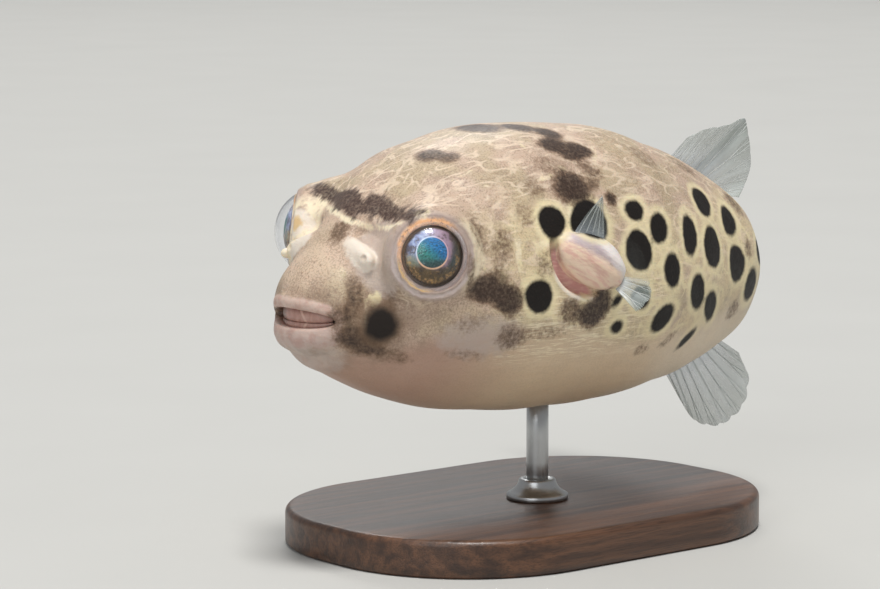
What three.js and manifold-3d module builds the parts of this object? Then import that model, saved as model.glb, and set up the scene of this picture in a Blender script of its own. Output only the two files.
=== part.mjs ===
// A spotted freshwater pufferfish as a still, life-size display model on a plain stand.
// Millimetres, +Z up. The fish looks along -X, its left side is towards -Y, and its tail swings to +Y.
import * as THREE from 'three';
import Module from 'manifold-3d';

const wasm = await Module();
wasm.setup();

// ---------------------------------------------------------------- driving dimensions

const BODY_LENGTH = 76;            // snout to the root of the tail fin, along the bent back
const HEAD_END = 23.4;             // the gill opening, where head and trunk part
const TRUNK_END = 61.5;            // behind the dorsal and anal fins, where the tail stalk starts
const GAP = 0.3;                   // clearance between neighbouring solids
const SECTION_SIDES = 36;          // corners of a body section

const BEND_START = 54;             // distance from the snout where the tail starts to swing
const BEND_END = 74;
const BEND_ANGLE = THREE.MathUtils.degToRad(100);

const BASE = { length: 54, width: 38, height: 4, corner: 17, bevel: 0.7 };
const ROD = { radius: 1.2, length: 10.5, place: 34 };
const BELLY_DEPTH = 12.6;          // lowest point of the belly below the mouth's level
const MOUTH_HEIGHT = BASE.height + ROD.length + BELLY_DEPTH;
const CENTRE = { along: 34, aside: 2 };

// Body sections from the snout backwards: heights of back and belly above the mouth's level,
// greatest half width and its height, and how square the upper and lower halves are.
const SECTIONS = [
  { at: 2, back: 4.2, belly: -4.9, half: 4.9, wide: -0.2, upper: 2.0, lower: 2.1 },
  { at: 5, back: 7.6, belly: -6.5, half: 7.0, wide: 0.2, upper: 1.9, lower: 2.1 },
  { at: 8, back: 10.9, belly: -8.0, half: 9.4, wide: 0.8, upper: 2.0, lower: 2.1 },
  { at: 12, back: 13.8, belly: -9.7, half: 12.1, wide: 1.4, upper: 2.4, lower: 2.1 },
  { at: 18, back: 16.4, belly: -11.4, half: 13.8, wide: 1.7, upper: 2.4, lower: 2.1 },
  { at: 28, back: 18.0, belly: -12.5, half: 14.6, wide: 1.5, upper: 2.25, lower: 2.1 },
  { at: 38, back: 17.5, belly: -12.6, half: 14.2, wide: 1.5, upper: 2.15, lower: 2.1 },
  { at: 48, back: 14.9, belly: -11.5, half: 11.8, wide: 1.2, upper: 2.05, lower: 2.1 },
  { at: 54, back: 12.6, belly: -10.2, half: 9.3, wide: 0.9, upper: 2.0, lower: 2.1 },
  { at: 60, back: 9.2, belly: -8.0, half: 6.5, wide: 0.4, upper: 2.0, lower: 2.05 },
  { at: 65, back: 6.9, belly: -5.9, half: 4.4, wide: 0.2, upper: 2.0, lower: 2.0 },
  { at: 70, back: 5.6, belly: -4.6, half: 3.0, wide: 0.2, upper: 2.0, lower: 2.0 },
  { at: 76, back: 5.6, belly: -4.3, half: 2.1, wide: 0.5, upper: 2.0, lower: 2.0 },
];

const SNOUT = { at: 5, height: 0, reach: [5.0, 6.2, 5.7], blend: 1.6 };
const ORBIT = { at: 11.55, side: 8.8, height: 6.35, radius: 4.7, blend: 2.6 };
const BROW = { at: 12.6, side: 8.3, height: 8.4, radius: 4.0, blend: 3.0 };
const ORBIT_FORWARD = THREE.MathUtils.degToRad(33);
const EYE_UP = THREE.MathUtils.degToRad(6);
const EYE = { radius: 3.75, proud: 1.0, cornea: 3.49, corneaShift: 0.61 };
const GAZE = { left: THREE.MathUtils.degToRad(28), right: THREE.MathUtils.degToRad(38) };

const MOUTH = { pivot: 6, reach: 6.0, widening: 0.75, depth: 3.2, halfAngle: THREE.MathUtils.degToRad(56) };
const GAPE = 1.15;                 // half the height of the open mouth at its middle
const LIPS = { upper: 0.6, lower: 1.25, proud: 0.22 };
const NOSTRIL = { at: 4.7, side: 5.1, height: 6.3, radius: 0.85 };

// ---------------------------------------------------------------- body shape

/** Shape-preserving cubic through the values of one key of SECTIONS. */
function sectionCurve(key) {
  const xs = SECTIONS.map((section) => section.at);
  const ys = SECTIONS.map((section) => section[key]);
  const count = xs.length;
  const slopes = xs.slice(1).map((x, i) => (ys[i + 1] - ys[i]) / (x - xs[i]));
  const tangents = xs.map((x, i) => {
    if (i === 0) return slopes[0];
    if (i === count - 1) return slopes[count - 2];
    if (slopes[i - 1] * slopes[i] <= 0) return 0;
    const before = xs[i] - xs[i - 1];
    const after = xs[i + 1] - xs[i];
    const w1 = 2 * after + before;
    const w2 = after + 2 * before;
    return (w1 + w2) / (w1 / slopes[i - 1] + w2 / slopes[i]);
  });
  return (x) => {
    const at = THREE.MathUtils.clamp(x, xs[0], xs[count - 1]);
    let i = 0;
    while (i < count - 2 && at > xs[i + 1]) i += 1;
    const h = xs[i + 1] - xs[i];
    const t = (at - xs[i]) / h;
    return (1 + 2 * t) * (1 - t) ** 2 * ys[i] + t * (1 - t) ** 2 * h * tangents[i]
      + t * t * (3 - 2 * t) * ys[i + 1] + t * t * (t - 1) * h * tangents[i + 1];
  };
}

const CURVES = Object.fromEntries(
  ['back', 'belly', 'half', 'wide', 'upper', 'lower'].map((key) => [key, sectionCurve(key)]),
);

/** Minimum of two distances with a rounded join of the given width. */
function blend(a, b, width) {
  const h = Math.max(width - Math.abs(a - b), 0) / width;
  return Math.min(a, b) - h * h * width / 4;
}

/** Rough signed distance to an ellipsoid. */
function ellipsoid(s, l, z, centre, reach) {
  const x = (s - centre[0]) / reach[0];
  const y = (l - centre[1]) / reach[1];
  const w = (z - centre[2]) / reach[2];
  const k0 = Math.hypot(x, y, w);
  const k1 = Math.hypot(x / reach[0], y / reach[1], w / reach[2]);
  return k0 * (k0 - 1) / Math.max(k1, 1e-6);
}

/** Signed field of the straight body: s runs back from the snout, l to the fish's left, z up. */
function bodyField(s, l, z) {
  const wide = CURVES.wide(s);
  const half = CURVES.half(s);
  const above = z >= wide;
  const tall = above ? CURVES.back(s) - wide : wide - CURVES.belly(s);
  const power = above ? CURVES.upper(s) : CURVES.lower(s);
  const q = (Math.abs(l / half) ** power + Math.abs((z - wide) / tall) ** power) ** (1 / power);
  const trunk = Math.max((q - 1) * Math.min(half, tall), 2.6 - s);
  let field = blend(trunk, ellipsoid(s, l, z, [SNOUT.at, 0, SNOUT.height], SNOUT.reach), SNOUT.blend);
  for (const mound of [ORBIT, BROW]) {
    const side = mound.side * Math.sign(l || 1);
    const ball = Math.hypot(s - mound.at, l - side, z - mound.height) - mound.radius;
    field = blend(field, ball, mound.blend);
  }
  return field;
}

/** Radius of the body's section at s, in the direction of the angle, around its centre. */
function sectionRadius(s, angle, centre) {
  let inside = 0;
  let outside = 24;
  for (let r = 24; r > 0; r -= 0.25) {
    if (bodyField(s, r * Math.cos(angle), centre + r * Math.sin(angle)) < 0) {
      inside = r;
      break;
    }
    outside = r;
  }
  for (let step = 0; step < 16; step += 1) {
    const r = (inside + outside) / 2;
    if (bodyField(s, r * Math.cos(angle), centre + r * Math.sin(angle)) < 0) inside = r;
    else outside = r;
  }
  return (inside + outside) / 2;
}

/** Heading of the back at s: 0 is straight, and it grows where the tail swings. */
function heading(s) {
  const t = THREE.MathUtils.clamp((s - BEND_START) / (BEND_END - BEND_START), 0, 1);
  return BEND_ANGLE * t * t * (3 - 2 * t);
}

const SPINE_STEP = 0.25;
const SPINE = [{ x: BEND_START, y: 0 }];
for (let i = 0; i < 240; i += 1) {
  const mid = heading(BEND_START + (i + 0.5) * SPINE_STEP);
  const last = SPINE[i];
  SPINE.push({ x: last.x + SPINE_STEP * Math.cos(mid), y: last.y + SPINE_STEP * Math.sin(mid) });
}

/** Place in the frame of a point of the straight body. */
function place(s, l, z) {
  const turn = heading(s);
  let x = s;
  let y = 0;
  if (s > BEND_START) {
    const i = Math.min(Math.floor((s - BEND_START) / SPINE_STEP), SPINE.length - 2);
    const t = (s - BEND_START) / SPINE_STEP - i;
    x = THREE.MathUtils.lerp(SPINE[i].x, SPINE[i + 1].x, t);
    y = THREE.MathUtils.lerp(SPINE[i].y, SPINE[i + 1].y, t);
  }
  return [x + l * Math.sin(turn) - CENTRE.along, y - l * Math.cos(turn) - CENTRE.aside, z + MOUTH_HEIGHT];
}

// ---------------------------------------------------------------- mesh helpers

/** A closed solid through rings of points that all have the same count; ends close on their middle. */
function loftSolid(rings) {
  const sides = rings[0].length;
  const points = rings.flat();
  const faces = [];
  for (let i = 0; i < rings.length - 1; i += 1) {
    for (let j = 0; j < sides; j += 1) {
      const a = i * sides + j;
      const b = i * sides + (j + 1) % sides;
      faces.push([a, b, b + sides], [a, b + sides, a + sides]);
    }
  }
  for (const [ring, start, flip] of [[rings[0], 0, true], [rings.at(-1), (rings.length - 1) * sides, false]]) {
    const middle = [0, 1, 2].map((k) => ring.reduce((sum, p) => sum + p[k], 0) / sides);
    const hub = points.push(middle) - 1;
    for (let j = 0; j < sides; j += 1) {
      const a = start + j;
      const b = start + (j + 1) % sides;
      faces.push(flip ? [hub, b, a] : [hub, a, b]);
    }
  }
  return outward({ points, faces });
}

/** Turns a closed surface so that its faces look outwards, and makes it a manifold solid. */
function outward({ points, faces }) {
  const volume = faces.reduce((sum, [a, b, c]) => {
    const [p, q, r] = [points[a], points[b], points[c]];
    return sum + p[0] * (q[1] * r[2] - q[2] * r[1]) + p[1] * (q[2] * r[0] - q[0] * r[2])
      + p[2] * (q[0] * r[1] - q[1] * r[0]);
  }, 0);
  const triVerts = new Uint32Array(faces.flatMap(([a, b, c]) => (volume > 0 ? [a, b, c] : [a, c, b])));
  const vertProperties = new Float32Array(points.flat());
  return new wasm.Manifold(new wasm.Mesh({ numProp: 3, vertProperties, triVerts }));
}

/** A three.js geometry as a manifold solid, after its seams are closed. */
function solidFrom(geometry) {
  const position = geometry.getAttribute('position');
  const seen = new Map();
  const points = [];
  const lookup = [];
  for (let i = 0; i < position.count; i += 1) {
    const p = [position.getX(i), position.getY(i), position.getZ(i)];
    const key = p.map((v) => Math.round(v * 1e4)).join();
    if (!seen.has(key)) seen.set(key, points.push(p) - 1);
    lookup.push(seen.get(key));
  }
  const index = geometry.index ? Array.from(geometry.index.array) : lookup.map((_, i) => i);
  const faces = [];
  for (let i = 0; i < index.length; i += 3) {
    const face = [lookup[index[i]], lookup[index[i + 1]], lookup[index[i + 2]]];
    if (new Set(face).size === 3) faces.push(face);
  }
  return outward({ points, faces });
}

/** A manifold solid as a three.js geometry with smooth-looking flat normals. */
function geometryFrom(solid) {
  const mesh = solid.getMesh();
  const geometry = new THREE.BufferGeometry();
  const points = new Float32Array(mesh.numVert * 3);
  for (let i = 0; i < mesh.numVert; i += 1) {
    for (let k = 0; k < 3; k += 1) points[i * 3 + k] = mesh.vertProperties[i * mesh.numProp + k];
  }
  geometry.setAttribute('position', new THREE.BufferAttribute(points, 3));
  geometry.setIndex(Array.from(mesh.triVerts));
  geometry.computeVertexNormals();
  return geometry;
}

/** The largest body of a solid, without the slivers that a cut may leave. */
function largest(solid) {
  const bodies = solid.decompose();
  return bodies.reduce((best, body) => (body.volume() > best.volume() ? body : best));
}

/** A ball, its centre given on the straight body. */
function ball(s, l, z, radius, detail = 20) {
  const geometry = new THREE.SphereGeometry(radius, detail, Math.round(detail * 0.6));
  geometry.rotateX(Math.PI / 2);
  geometry.translate(...place(s, l, z));
  return solidFrom(geometry);
}

// ---------------------------------------------------------------- body solids

/** Distances from the snout for the rings of a body solid, closer together where it curves more. */
function stations(from, to, count, crowd) {
  return Array.from({ length: count }, (_, i) => from + (to - from) * (i / (count - 1)) ** crowd);
}

/** The body between two distances from the snout, grown outwards by a margin. */
function bodySolid(distances, grow = 0) {
  const rings = distances.map((s) => {
    const centre = CURVES.wide(s) * 0.8;
    return Array.from({ length: SECTION_SIDES }, (_, j) => {
      const angle = (j / SECTION_SIDES) * 2 * Math.PI;
      const r = sectionRadius(s, angle, centre) + grow;
      return place(s, r * Math.cos(angle), centre + r * Math.sin(angle));
    });
  });
  return loftSolid(rings);
}

/** Direction in which an eye looks, on the straight body; side is 1 for the left eye. */
function eyeAxis(forward, side) {
  return [-Math.sin(forward) * Math.cos(EYE_UP), side * Math.cos(forward) * Math.cos(EYE_UP), Math.sin(EYE_UP)];
}

/** Centre of an eyeball: it sits further out than the mound of its orbit. */
function eyeCentre(side) {
  const axis = eyeAxis(ORBIT_FORWARD, side);
  return [ORBIT.at, ORBIT.side * side, ORBIT.height].map((v, k) => v + axis[k] * EYE.proud);
}

/** An eyeball with its bulging cornea, grown by a margin. */
function eyeSolid(side, gaze, grow = 0, detail = 18) {
  const centre = eyeCentre(side);
  const axis = eyeAxis(gaze, side);
  const front = centre.map((v, k) => v + axis[k] * EYE.corneaShift);
  return ball(...centre, EYE.radius + grow, detail).add(ball(...front, EYE.cornea + grow, detail));
}

/** Height of the mouth's line and half its opening, at t from 0 in the middle to 1 in the corner. */
function mouthLine(t) {
  return { height: -0.35 - 0.6 * t * t, open: GAPE * Math.sqrt(Math.max(1 - t ** 2.2, 0)) };
}

/** A point round the mouth's pivot, at an angle from straight ahead and a distance. */
function roundMouth(angle, distance, z) {
  return place(MOUTH.pivot - distance * Math.cos(angle), distance * Math.sin(angle), z);
}

const LIP_RINGS = 12;
const LIP_SIDES = 7;

/** The hollow of the open mouth. */
function mouthHollow() {
  const rings = [];
  for (let i = 0; i <= LIP_RINGS; i += 1) {
    const t = ((2 * i) / LIP_RINGS - 1) * 0.99;
    const angle = t * MOUTH.halfAngle;
    const { height, open } = mouthLine(Math.abs(t));
    const inner = MOUTH.reach - MOUTH.depth;
    const corners = [[inner, -open * 0.7], [9, -open], [9, open], [inner, open * 0.7]];
    rings.push(corners.map(([distance, z]) => roundMouth(angle, distance, height + z)));
  }
  return loftSolid(rings);
}

/** One lip: a roll along the edge of the mouth; way is 1 above it and -1 below. */
function lipSolid(way) {
  const thick = way > 0 ? LIPS.upper : LIPS.lower;
  const rings = [];
  for (let i = 0; i <= LIP_RINGS; i += 1) {
    const t = (2 * i) / LIP_RINGS - 1;
    const angle = t * MOUTH.halfAngle;
    const { height, open } = mouthLine(Math.abs(t));
    const r = thick * (1 - 0.35 * t * t) * Math.sqrt(Math.max(1.04 - t ** 6, 0));
    const away = MOUTH.reach + MOUTH.widening * Math.sin(angle) ** 2 + LIPS.proud - thick;
    const z = height + way * (open + thick * 0.9);
    rings.push(Array.from({ length: LIP_SIDES }, (_, j) => {
      const turn = (j / LIP_SIDES) * 2 * Math.PI;
      return roundMouth(angle, away + r * Math.cos(turn), z + r * Math.sin(turn));
    }));
  }
  return loftSolid(rings);
}

/** The forked flap of one nostril. */
function nostrilSolid(side) {
  const r = NOSTRIL.radius;
  const inner = ball(NOSTRIL.at, NOSTRIL.side * side, NOSTRIL.height, r, 9);
  const outer = ball(NOSTRIL.at + 0.5, (NOSTRIL.side + 0.9) * side, NOSTRIL.height - 0.7, r * 0.9, 9);
  return inner.add(outer);
}

/** One plate of the beak, in the gap behind its lip. */
function beakSolid(way) {
  const rings = [];
  for (let i = 0; i <= 10; i += 1) {
    const t = (i / 5 - 1) * 0.62;
    const angle = t * MOUTH.halfAngle;
    const { height, open } = mouthLine(Math.abs(t));
    const root = (open * 0.85 - GAP) * way;
    const edge = way * 0.16;
    const corners = [[3.2, root * 0.9], [4.7, root], [4.8, edge], [3.8, edge]];
    rings.push(corners.map(([distance, z]) => roundMouth(angle, distance, height + z)));
  }
  return loftSolid(rings);
}

function headSolid() {
  let head = bodySolid(stations(0.05, HEAD_END, 22, 1.5));
  head = head.add(lipSolid(1)).add(lipSolid(-1));
  for (const side of [1, -1]) {
    head = head.add(nostrilSolid(side));
  }
  head = head.subtract(mouthHollow());
  for (const side of [1, -1]) {
    head = head.subtract(eyeSolid(side, ORBIT_FORWARD, GAP + 0.08, 15));
  }
  return largest(head);
}

// ---------------------------------------------------------------- fins

/**
 * A fan-shaped fin between a root line and a rounded margin, thicker at its root.
 * root(u) and ray(u) give points and directions on the straight body for u from 0 to 1,
 * side(u) is the direction in which the fin is thick.
 */
function finSolid({ root, ray, side, thick = [1.0, 0.55], across = 9, along = 6 }) {
  const sheet = (way) => Array.from({ length: across + 1 }, (_, i) => {
    const u = i / across;
    const start = root(u);
    const reach = ray(u);
    const aside = side(u);
    return Array.from({ length: along + 1 }, (_, j) => {
      const v = j / along;
      const half = way * THREE.MathUtils.lerp(thick[0], thick[1], v) / 2;
      return place(...start.map((c, k) => c + reach[k] * v + aside[k] * half));
    });
  });
  const points = [...sheet(1).flat(), ...sheet(-1).flat()];
  const row = along + 1;
  const other = (across + 1) * row;
  const faces = [];
  const quad = (a, b, c, d) => faces.push([a, b, c], [a, c, d]);
  for (let i = 0; i < across; i += 1) {
    for (let j = 0; j < along; j += 1) {
      const a = i * row + j;
      quad(a, a + 1, a + row + 1, a + row);
      quad(other + a, other + a + row, other + a + row + 1, other + a + 1);
    }
    const a = i * row;
    quad(a, a + row, other + a + row, other + a);
    quad(a + along, other + a + along, other + a + row + along, a + row + along);
  }
  for (let j = 0; j < along; j += 1) {
    quad(j, other + j, other + j + 1, j + 1);
    const a = across * row + j;
    quad(a, a + 1, other + a + 1, other + a);
  }
  return outward({ points, faces });
}

/** Length factor that rounds a fin's margin off towards its first and last rays. */
function rounded(u, front, rear) {
  const middle = Math.sin(Math.PI * THREE.MathUtils.clamp(u, 0, 1)) ** 0.6;
  return THREE.MathUtils.lerp(THREE.MathUtils.lerp(front, rear, u), 1, middle);
}

/** A fin on the back or belly; way is 1 on the back and -1 on the belly. */
function middleFin(way, fin) {
  const edge = way > 0 ? CURVES.back : CURVES.belly;
  return finSolid({
    root: (u) => {
      const s = THREE.MathUtils.lerp(fin.from, fin.to, u);
      return [s, 0, edge(s) + way * fin.clear];
    },
    ray: (u) => {
      const length = fin.length * rounded(u, fin.front, fin.rear);
      const slope = THREE.MathUtils.lerp(fin.slope[0], fin.slope[1], u);
      const lean = THREE.MathUtils.lerp(fin.lean[0], fin.lean[1], u);
      return [length * Math.cos(slope) * Math.cos(lean), length * Math.sin(lean),
        way * length * Math.sin(slope) * Math.cos(lean)];
    },
    side: () => [0, 1, 0],
  });
}

const DEG = THREE.MathUtils.degToRad(1);
const DORSAL = { from: 54.2, to: 60.6, clear: 0.35, length: 10.8, front: 0.8, rear: 0.74,
  slope: [38 * DEG, 8 * DEG], lean: [17 * DEG, 38 * DEG] };
const ANAL = { from: 52.8, to: 60.4, clear: 0.35, length: 9.8, front: 0.7, rear: 0.62,
  slope: [64 * DEG, 30 * DEG], lean: [6 * DEG, 32 * DEG] };
const CAUDAL = { length: 16.5, spread: 21 * DEG };

function caudalFin() {
  const s = BODY_LENGTH + GAP;
  return finSolid({
    root: (u) => [s, 0, THREE.MathUtils.lerp(CURVES.belly(76) + 0.4, CURVES.back(76) - 0.4, u)],
    ray: (u) => {
      const spread = THREE.MathUtils.lerp(-CAUDAL.spread, CAUDAL.spread, u);
      const length = CAUDAL.length * (0.8 + 0.2 * Math.sin(Math.PI * u));
      return [length * Math.cos(spread), 0, length * Math.sin(spread)];
    },
    side: () => [0, 1, 0],
    thick: [1.3, 0.55],
    across: 10,
    along: 6,
  });
}

// A pectoral fin fans out from its fleshy lobe behind the gill opening.
const LOBE = { at: 28.2, height: 4.9, out: 14.9, reach: [3.8, 1.6, 3.0], tilt: 28 * DEG };
const PECTORAL = { top: 5.0, bottom: 6.4, middle: 9.4 };

/** The fleshy lobe that carries a pectoral fin, set on the trunk's side. */
function lobeSolid(side, trunkGrown) {
  const geometry = new THREE.SphereGeometry(1, 16, 10);
  const points = geometry.getAttribute('position');
  for (let i = 0; i < points.count; i += 1) {
    const [x, y, z] = [points.getX(i) * LOBE.reach[0], points.getY(i) * LOBE.reach[1], points.getZ(i) * LOBE.reach[2]];
    const back = x * Math.cos(LOBE.tilt) + z * Math.sin(LOBE.tilt) * 0.9;
    const up = -x * Math.sin(LOBE.tilt) + z * Math.cos(LOBE.tilt);
    const out = y + back * 0.16;
    points.setXYZ(i, ...place(LOBE.at + back, side * (LOBE.out + out), LOBE.height + up));
  }
  return largest(solidFrom(geometry).subtract(trunkGrown));
}

/** The fan of rays and membrane of a pectoral fin, without its lobe. */
function pectoralSolid(side, pose, lobe, trunkGrown) {
  const fan = finSolid({
    root: (u) => {
      const angle = THREE.MathUtils.lerp(95, -60, u) * DEG;
      return [LOBE.at + 0.4 + 2.4 * Math.cos(angle), side * (LOBE.out + 0.9 + 0.4 * Math.cos(angle)),
        LOBE.height - 0.3 + 2.5 * Math.sin(angle)];
    },
    ray: (u) => {
      const rise = THREE.MathUtils.lerp(pose.rise[0], pose.rise[1], u) * DEG;
      const middle = Math.sin(Math.PI * u);
      const sweep = (THREE.MathUtils.lerp(pose.sweep[0], pose.sweep[2], u) * (1 - middle)
        + pose.sweep[1] * middle) * DEG;
      const length = THREE.MathUtils.lerp(PECTORAL.top, PECTORAL.bottom, u) * (1 - middle)
        + PECTORAL.middle * middle;
      return [length * Math.sin(sweep) * Math.cos(rise), side * length * Math.cos(sweep) * Math.cos(rise),
        length * Math.sin(rise)];
    },
    side: (u) => {
      const sweep = pose.sweep[1] * DEG;
      return [Math.cos(sweep), -side * Math.sin(sweep), 0];
    },
    thick: [0.8, 0.55],
    across: 10,
    along: 5,
  });
  return largest(fan.subtract(lobe).subtract(trunkGrown));
}

// ---------------------------------------------------------------- stand

function standBase() {
  const { length, width, height, corner, bevel } = BASE;
  const [x, y] = [length / 2 - bevel, width / 2 - bevel];
  const r = corner - bevel;
  const outline = new THREE.Shape();
  outline.moveTo(-x + r, -y);
  outline.lineTo(x - r, -y);
  outline.absarc(x - r, -y + r, r, -Math.PI / 2, 0);
  outline.lineTo(x, y - r);
  outline.absarc(x - r, y - r, r, 0, Math.PI / 2);
  outline.lineTo(-x + r, y);
  outline.absarc(-x + r, y - r, r, Math.PI / 2, Math.PI);
  outline.lineTo(-x, -y + r);
  outline.absarc(-x + r, -y + r, r, Math.PI, 1.5 * Math.PI);
  const geometry = new THREE.ExtrudeGeometry(outline, {
    depth: height - 2 * bevel, bevelThickness: bevel, bevelSize: bevel, bevelSegments: 2, curveSegments: 5,
  });
  geometry.translate(0, 0, bevel);
  return solidFrom(geometry);
}

/** The rod, whose top end follows the belly just below it. */
function standRod(bodyGrown) {
  const [x, y] = place(ROD.place, 0, 0);
  const height = ROD.length + 4;
  const rod = new THREE.CylinderGeometry(ROD.radius, ROD.radius, height, 20);
  rod.rotateX(Math.PI / 2);
  rod.translate(x, y, BASE.height + GAP + height / 2);
  return largest(solidFrom(rod).subtract(bodyGrown));
}

/** The turned collar round the rod's foot. */
function standCollar() {
  const inner = ROD.radius + GAP;
  const foot = BASE.height + 0.02;
  const profile = [[inner, 0], [3.4, 0], [3.4, 0.7], [2.9, 1.2], [2.2, 1.5], [2.0, 2.2], [inner, 2.2]];
  const ring = new THREE.LatheGeometry(profile.map(([r, h]) => new THREE.Vector2(r, h)).concat(
    new THREE.Vector2(inner, 0),
  ), 18);
  ring.rotateX(Math.PI / 2);
  const [x, y] = place(ROD.place, 0, 0);
  ring.translate(x, y, foot);
  return solidFrom(ring);
}

// ---------------------------------------------------------------- scene graph

const FINISHES = {
  skin: { color: 0xc2ad8a, roughness: 0.45, metalness: 0 },
  belly: { color: 0xb9a893, roughness: 0.45, metalness: 0 },
  eye: { color: 0x2f8fa8, roughness: 0.1, metalness: 0.2 },
  beak: { color: 0xd9c3b4, roughness: 0.35, metalness: 0 },
  fin: { color: 0x9fa79c, roughness: 0.4, metalness: 0 },
  wood: { color: 0x2e1e15, roughness: 0.4, metalness: 0 },
  steel: { color: 0xb8bbbd, roughness: 0.3, metalness: 1 },
};

const model = new THREE.Group();

function addPart(name, solid, finish) {
  const material = new THREE.MeshStandardMaterial({ ...FINISHES[finish], name: finish });
  const mesh = new THREE.Mesh(geometryFrom(solid), material);
  mesh.name = name;
  model.add(mesh);
}

const trunkStations = stations(HEAD_END + GAP, TRUNK_END, 16, 1);
const trunkGrown = bodySolid(stations(15, 70, 18, 1), GAP);
const tailStations = stations(TRUNK_END + GAP, BODY_LENGTH, 11, 1);

addPart('head', headSolid(), 'skin');
addPart('trunk', bodySolid(trunkStations), 'skin');
addPart('tail_stalk', bodySolid(tailStations), 'skin');
addPart('beak_upper', beakSolid(1), 'beak');
addPart('beak_lower', beakSolid(-1), 'beak');

const FIN_POSES = {
  left: { rise: [62, -34], sweep: [-28, -32, 28] },
  right: { rise: [34, -34], sweep: [20, 34, 52] },
};
for (const [name, side] of [['left', 1], ['right', -1]]) {
  addPart(`eye_${name}`, eyeSolid(side, GAZE[name]), 'eye');
  const lobe = lobeSolid(side, trunkGrown);
  addPart(`pectoral_lobe_${name}`, lobe, 'skin');
  addPart(`pectoral_fin_${name}`, pectoralSolid(side, FIN_POSES[name], lobe, trunkGrown), 'fin');
}

addPart('dorsal_fin', middleFin(1, DORSAL), 'fin');
addPart('anal_fin', middleFin(-1, ANAL), 'fin');
addPart('caudal_fin', caudalFin(), 'fin');
addPart('stand_base', standBase(), 'wood');
addPart('stand_collar', standCollar(), 'steel');
addPart('stand_rod', standRod(trunkGrown), 'steel');

export default model;
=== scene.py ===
"""A spotted freshwater pufferfish as a still, life-size display model on a small stand.

The flesh is one skin, grown as a field in straight coordinates (s back from the snout, l to the
fish's left, z up from the mouth, all in millimetres), meshed, and then swung round the bend of
the tail. The eyes, beak plates and fins are pieces of their own.
"""

import logging
import math
from dataclasses import dataclass, field
from enum import Enum
from typing import Callable, Iterable, Sequence

import bpy
import numpy as np
from mathutils import Matrix, Vector


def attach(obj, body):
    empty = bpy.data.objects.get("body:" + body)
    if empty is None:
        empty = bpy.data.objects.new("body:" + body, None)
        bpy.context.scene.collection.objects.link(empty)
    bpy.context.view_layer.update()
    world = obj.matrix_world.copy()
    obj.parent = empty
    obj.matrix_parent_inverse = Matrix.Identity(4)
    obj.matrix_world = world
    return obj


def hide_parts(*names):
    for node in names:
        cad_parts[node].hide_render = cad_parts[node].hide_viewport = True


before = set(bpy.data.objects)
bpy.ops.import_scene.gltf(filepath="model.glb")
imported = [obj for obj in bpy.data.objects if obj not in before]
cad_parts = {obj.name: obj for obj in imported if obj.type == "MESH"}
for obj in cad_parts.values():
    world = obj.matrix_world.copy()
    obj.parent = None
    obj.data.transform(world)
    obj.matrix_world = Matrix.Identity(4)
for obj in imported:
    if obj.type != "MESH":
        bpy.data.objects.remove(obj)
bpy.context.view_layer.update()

MM = 0.001
LEFT, RIGHT = 1, -1
DEG = math.pi / 180
LOG = logging.getLogger("puffer")

Array = np.ndarray
Values = dict[str, Array]
Triple = tuple[float, float, float]
Colour = Triple
Piece = bpy.types.Object
Material = bpy.types.Material
Faces = Iterable[Sequence[int]]
Profile = Sequence[tuple[float, float]]


# ---------------------------------------------------------------- numbers and shapes


def smooth_min(a: Array, b: Array, width: float) -> Array:
    """Joins the fields of two solids with a fillet of a given reach."""
    near = np.maximum(width - np.abs(a - b), 0) / width
    return np.minimum(a, b) - near * near * width / 4


def smooth_max(a: Array, b: Array, width: float) -> Array:
    """Keeps what two solids share, with the edge rounded over width."""
    return -smooth_min(-a, -b, width)


def ease(value: Array, low: float, high: float) -> Array:
    """Rises smoothly from 0 at low to 1 at high; low may be above high."""
    t = np.clip((value - low) / (high - low), 0, 1)
    return t * t * (3 - 2 * t)


def bell(value: Array, middle: float, width: float) -> Array:
    """A smooth bump of height 1 round a middle value."""
    return np.exp(-(((value - middle) / width) ** 2))


def ellipsoid(p: Array, centre: Sequence[float], reach: Sequence[float]) -> Array:
    """Rough signed distance to an ellipsoid with its axes along the frame.

    Args:
        p: Points, one row each.
        centre: Middle of the ellipsoid.
        reach: Its three half axes.

    Returns:
        A distance that is negative inside.
    """
    scaled = (p - np.asarray(centre)) / np.asarray(reach)
    k0 = np.linalg.norm(scaled, axis=-1)
    k1 = np.linalg.norm(scaled / np.asarray(reach), axis=-1)
    return k0 * (k0 - 1) / np.maximum(k1, 1e-6)


def blend_rows(a: Array, b: Array, t: Array) -> Array:
    """Mixes two arrays by a weight."""
    return a + (b - a) * t


def away(p: Array, place: Sequence[float]) -> Array:
    """Distances of points from a place."""
    return np.linalg.norm(p - np.asarray(place), axis=-1)


def folded(p: Array) -> Array:
    """Points with those of the right side moved to the left."""
    return np.stack([p[..., 0], np.abs(p[..., 1]), p[..., 2]], axis=-1)


def orthogonal(axis: Array) -> tuple[Array, Array]:
    """Two directions across an axis: towards the snout and upwards, as far as it lets them."""
    if abs(axis[2]) > 0.999:
        return np.array([1.0, 0, 0]), np.array([0, 1.0, 0])
    up = np.array([0, 0, 1.0]) - axis * axis[2]
    up /= np.linalg.norm(up)
    ahead = np.cross(up, axis)
    ahead *= -np.sign(ahead[0])
    return ahead, up


@dataclass(frozen=True)
class Section:
    """One cross-section of the straight body: a superellipse whose widest level is at `wide`."""

    at: float
    back: float
    belly: float
    half: float
    wide: float
    upper: float
    lower: float


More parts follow.
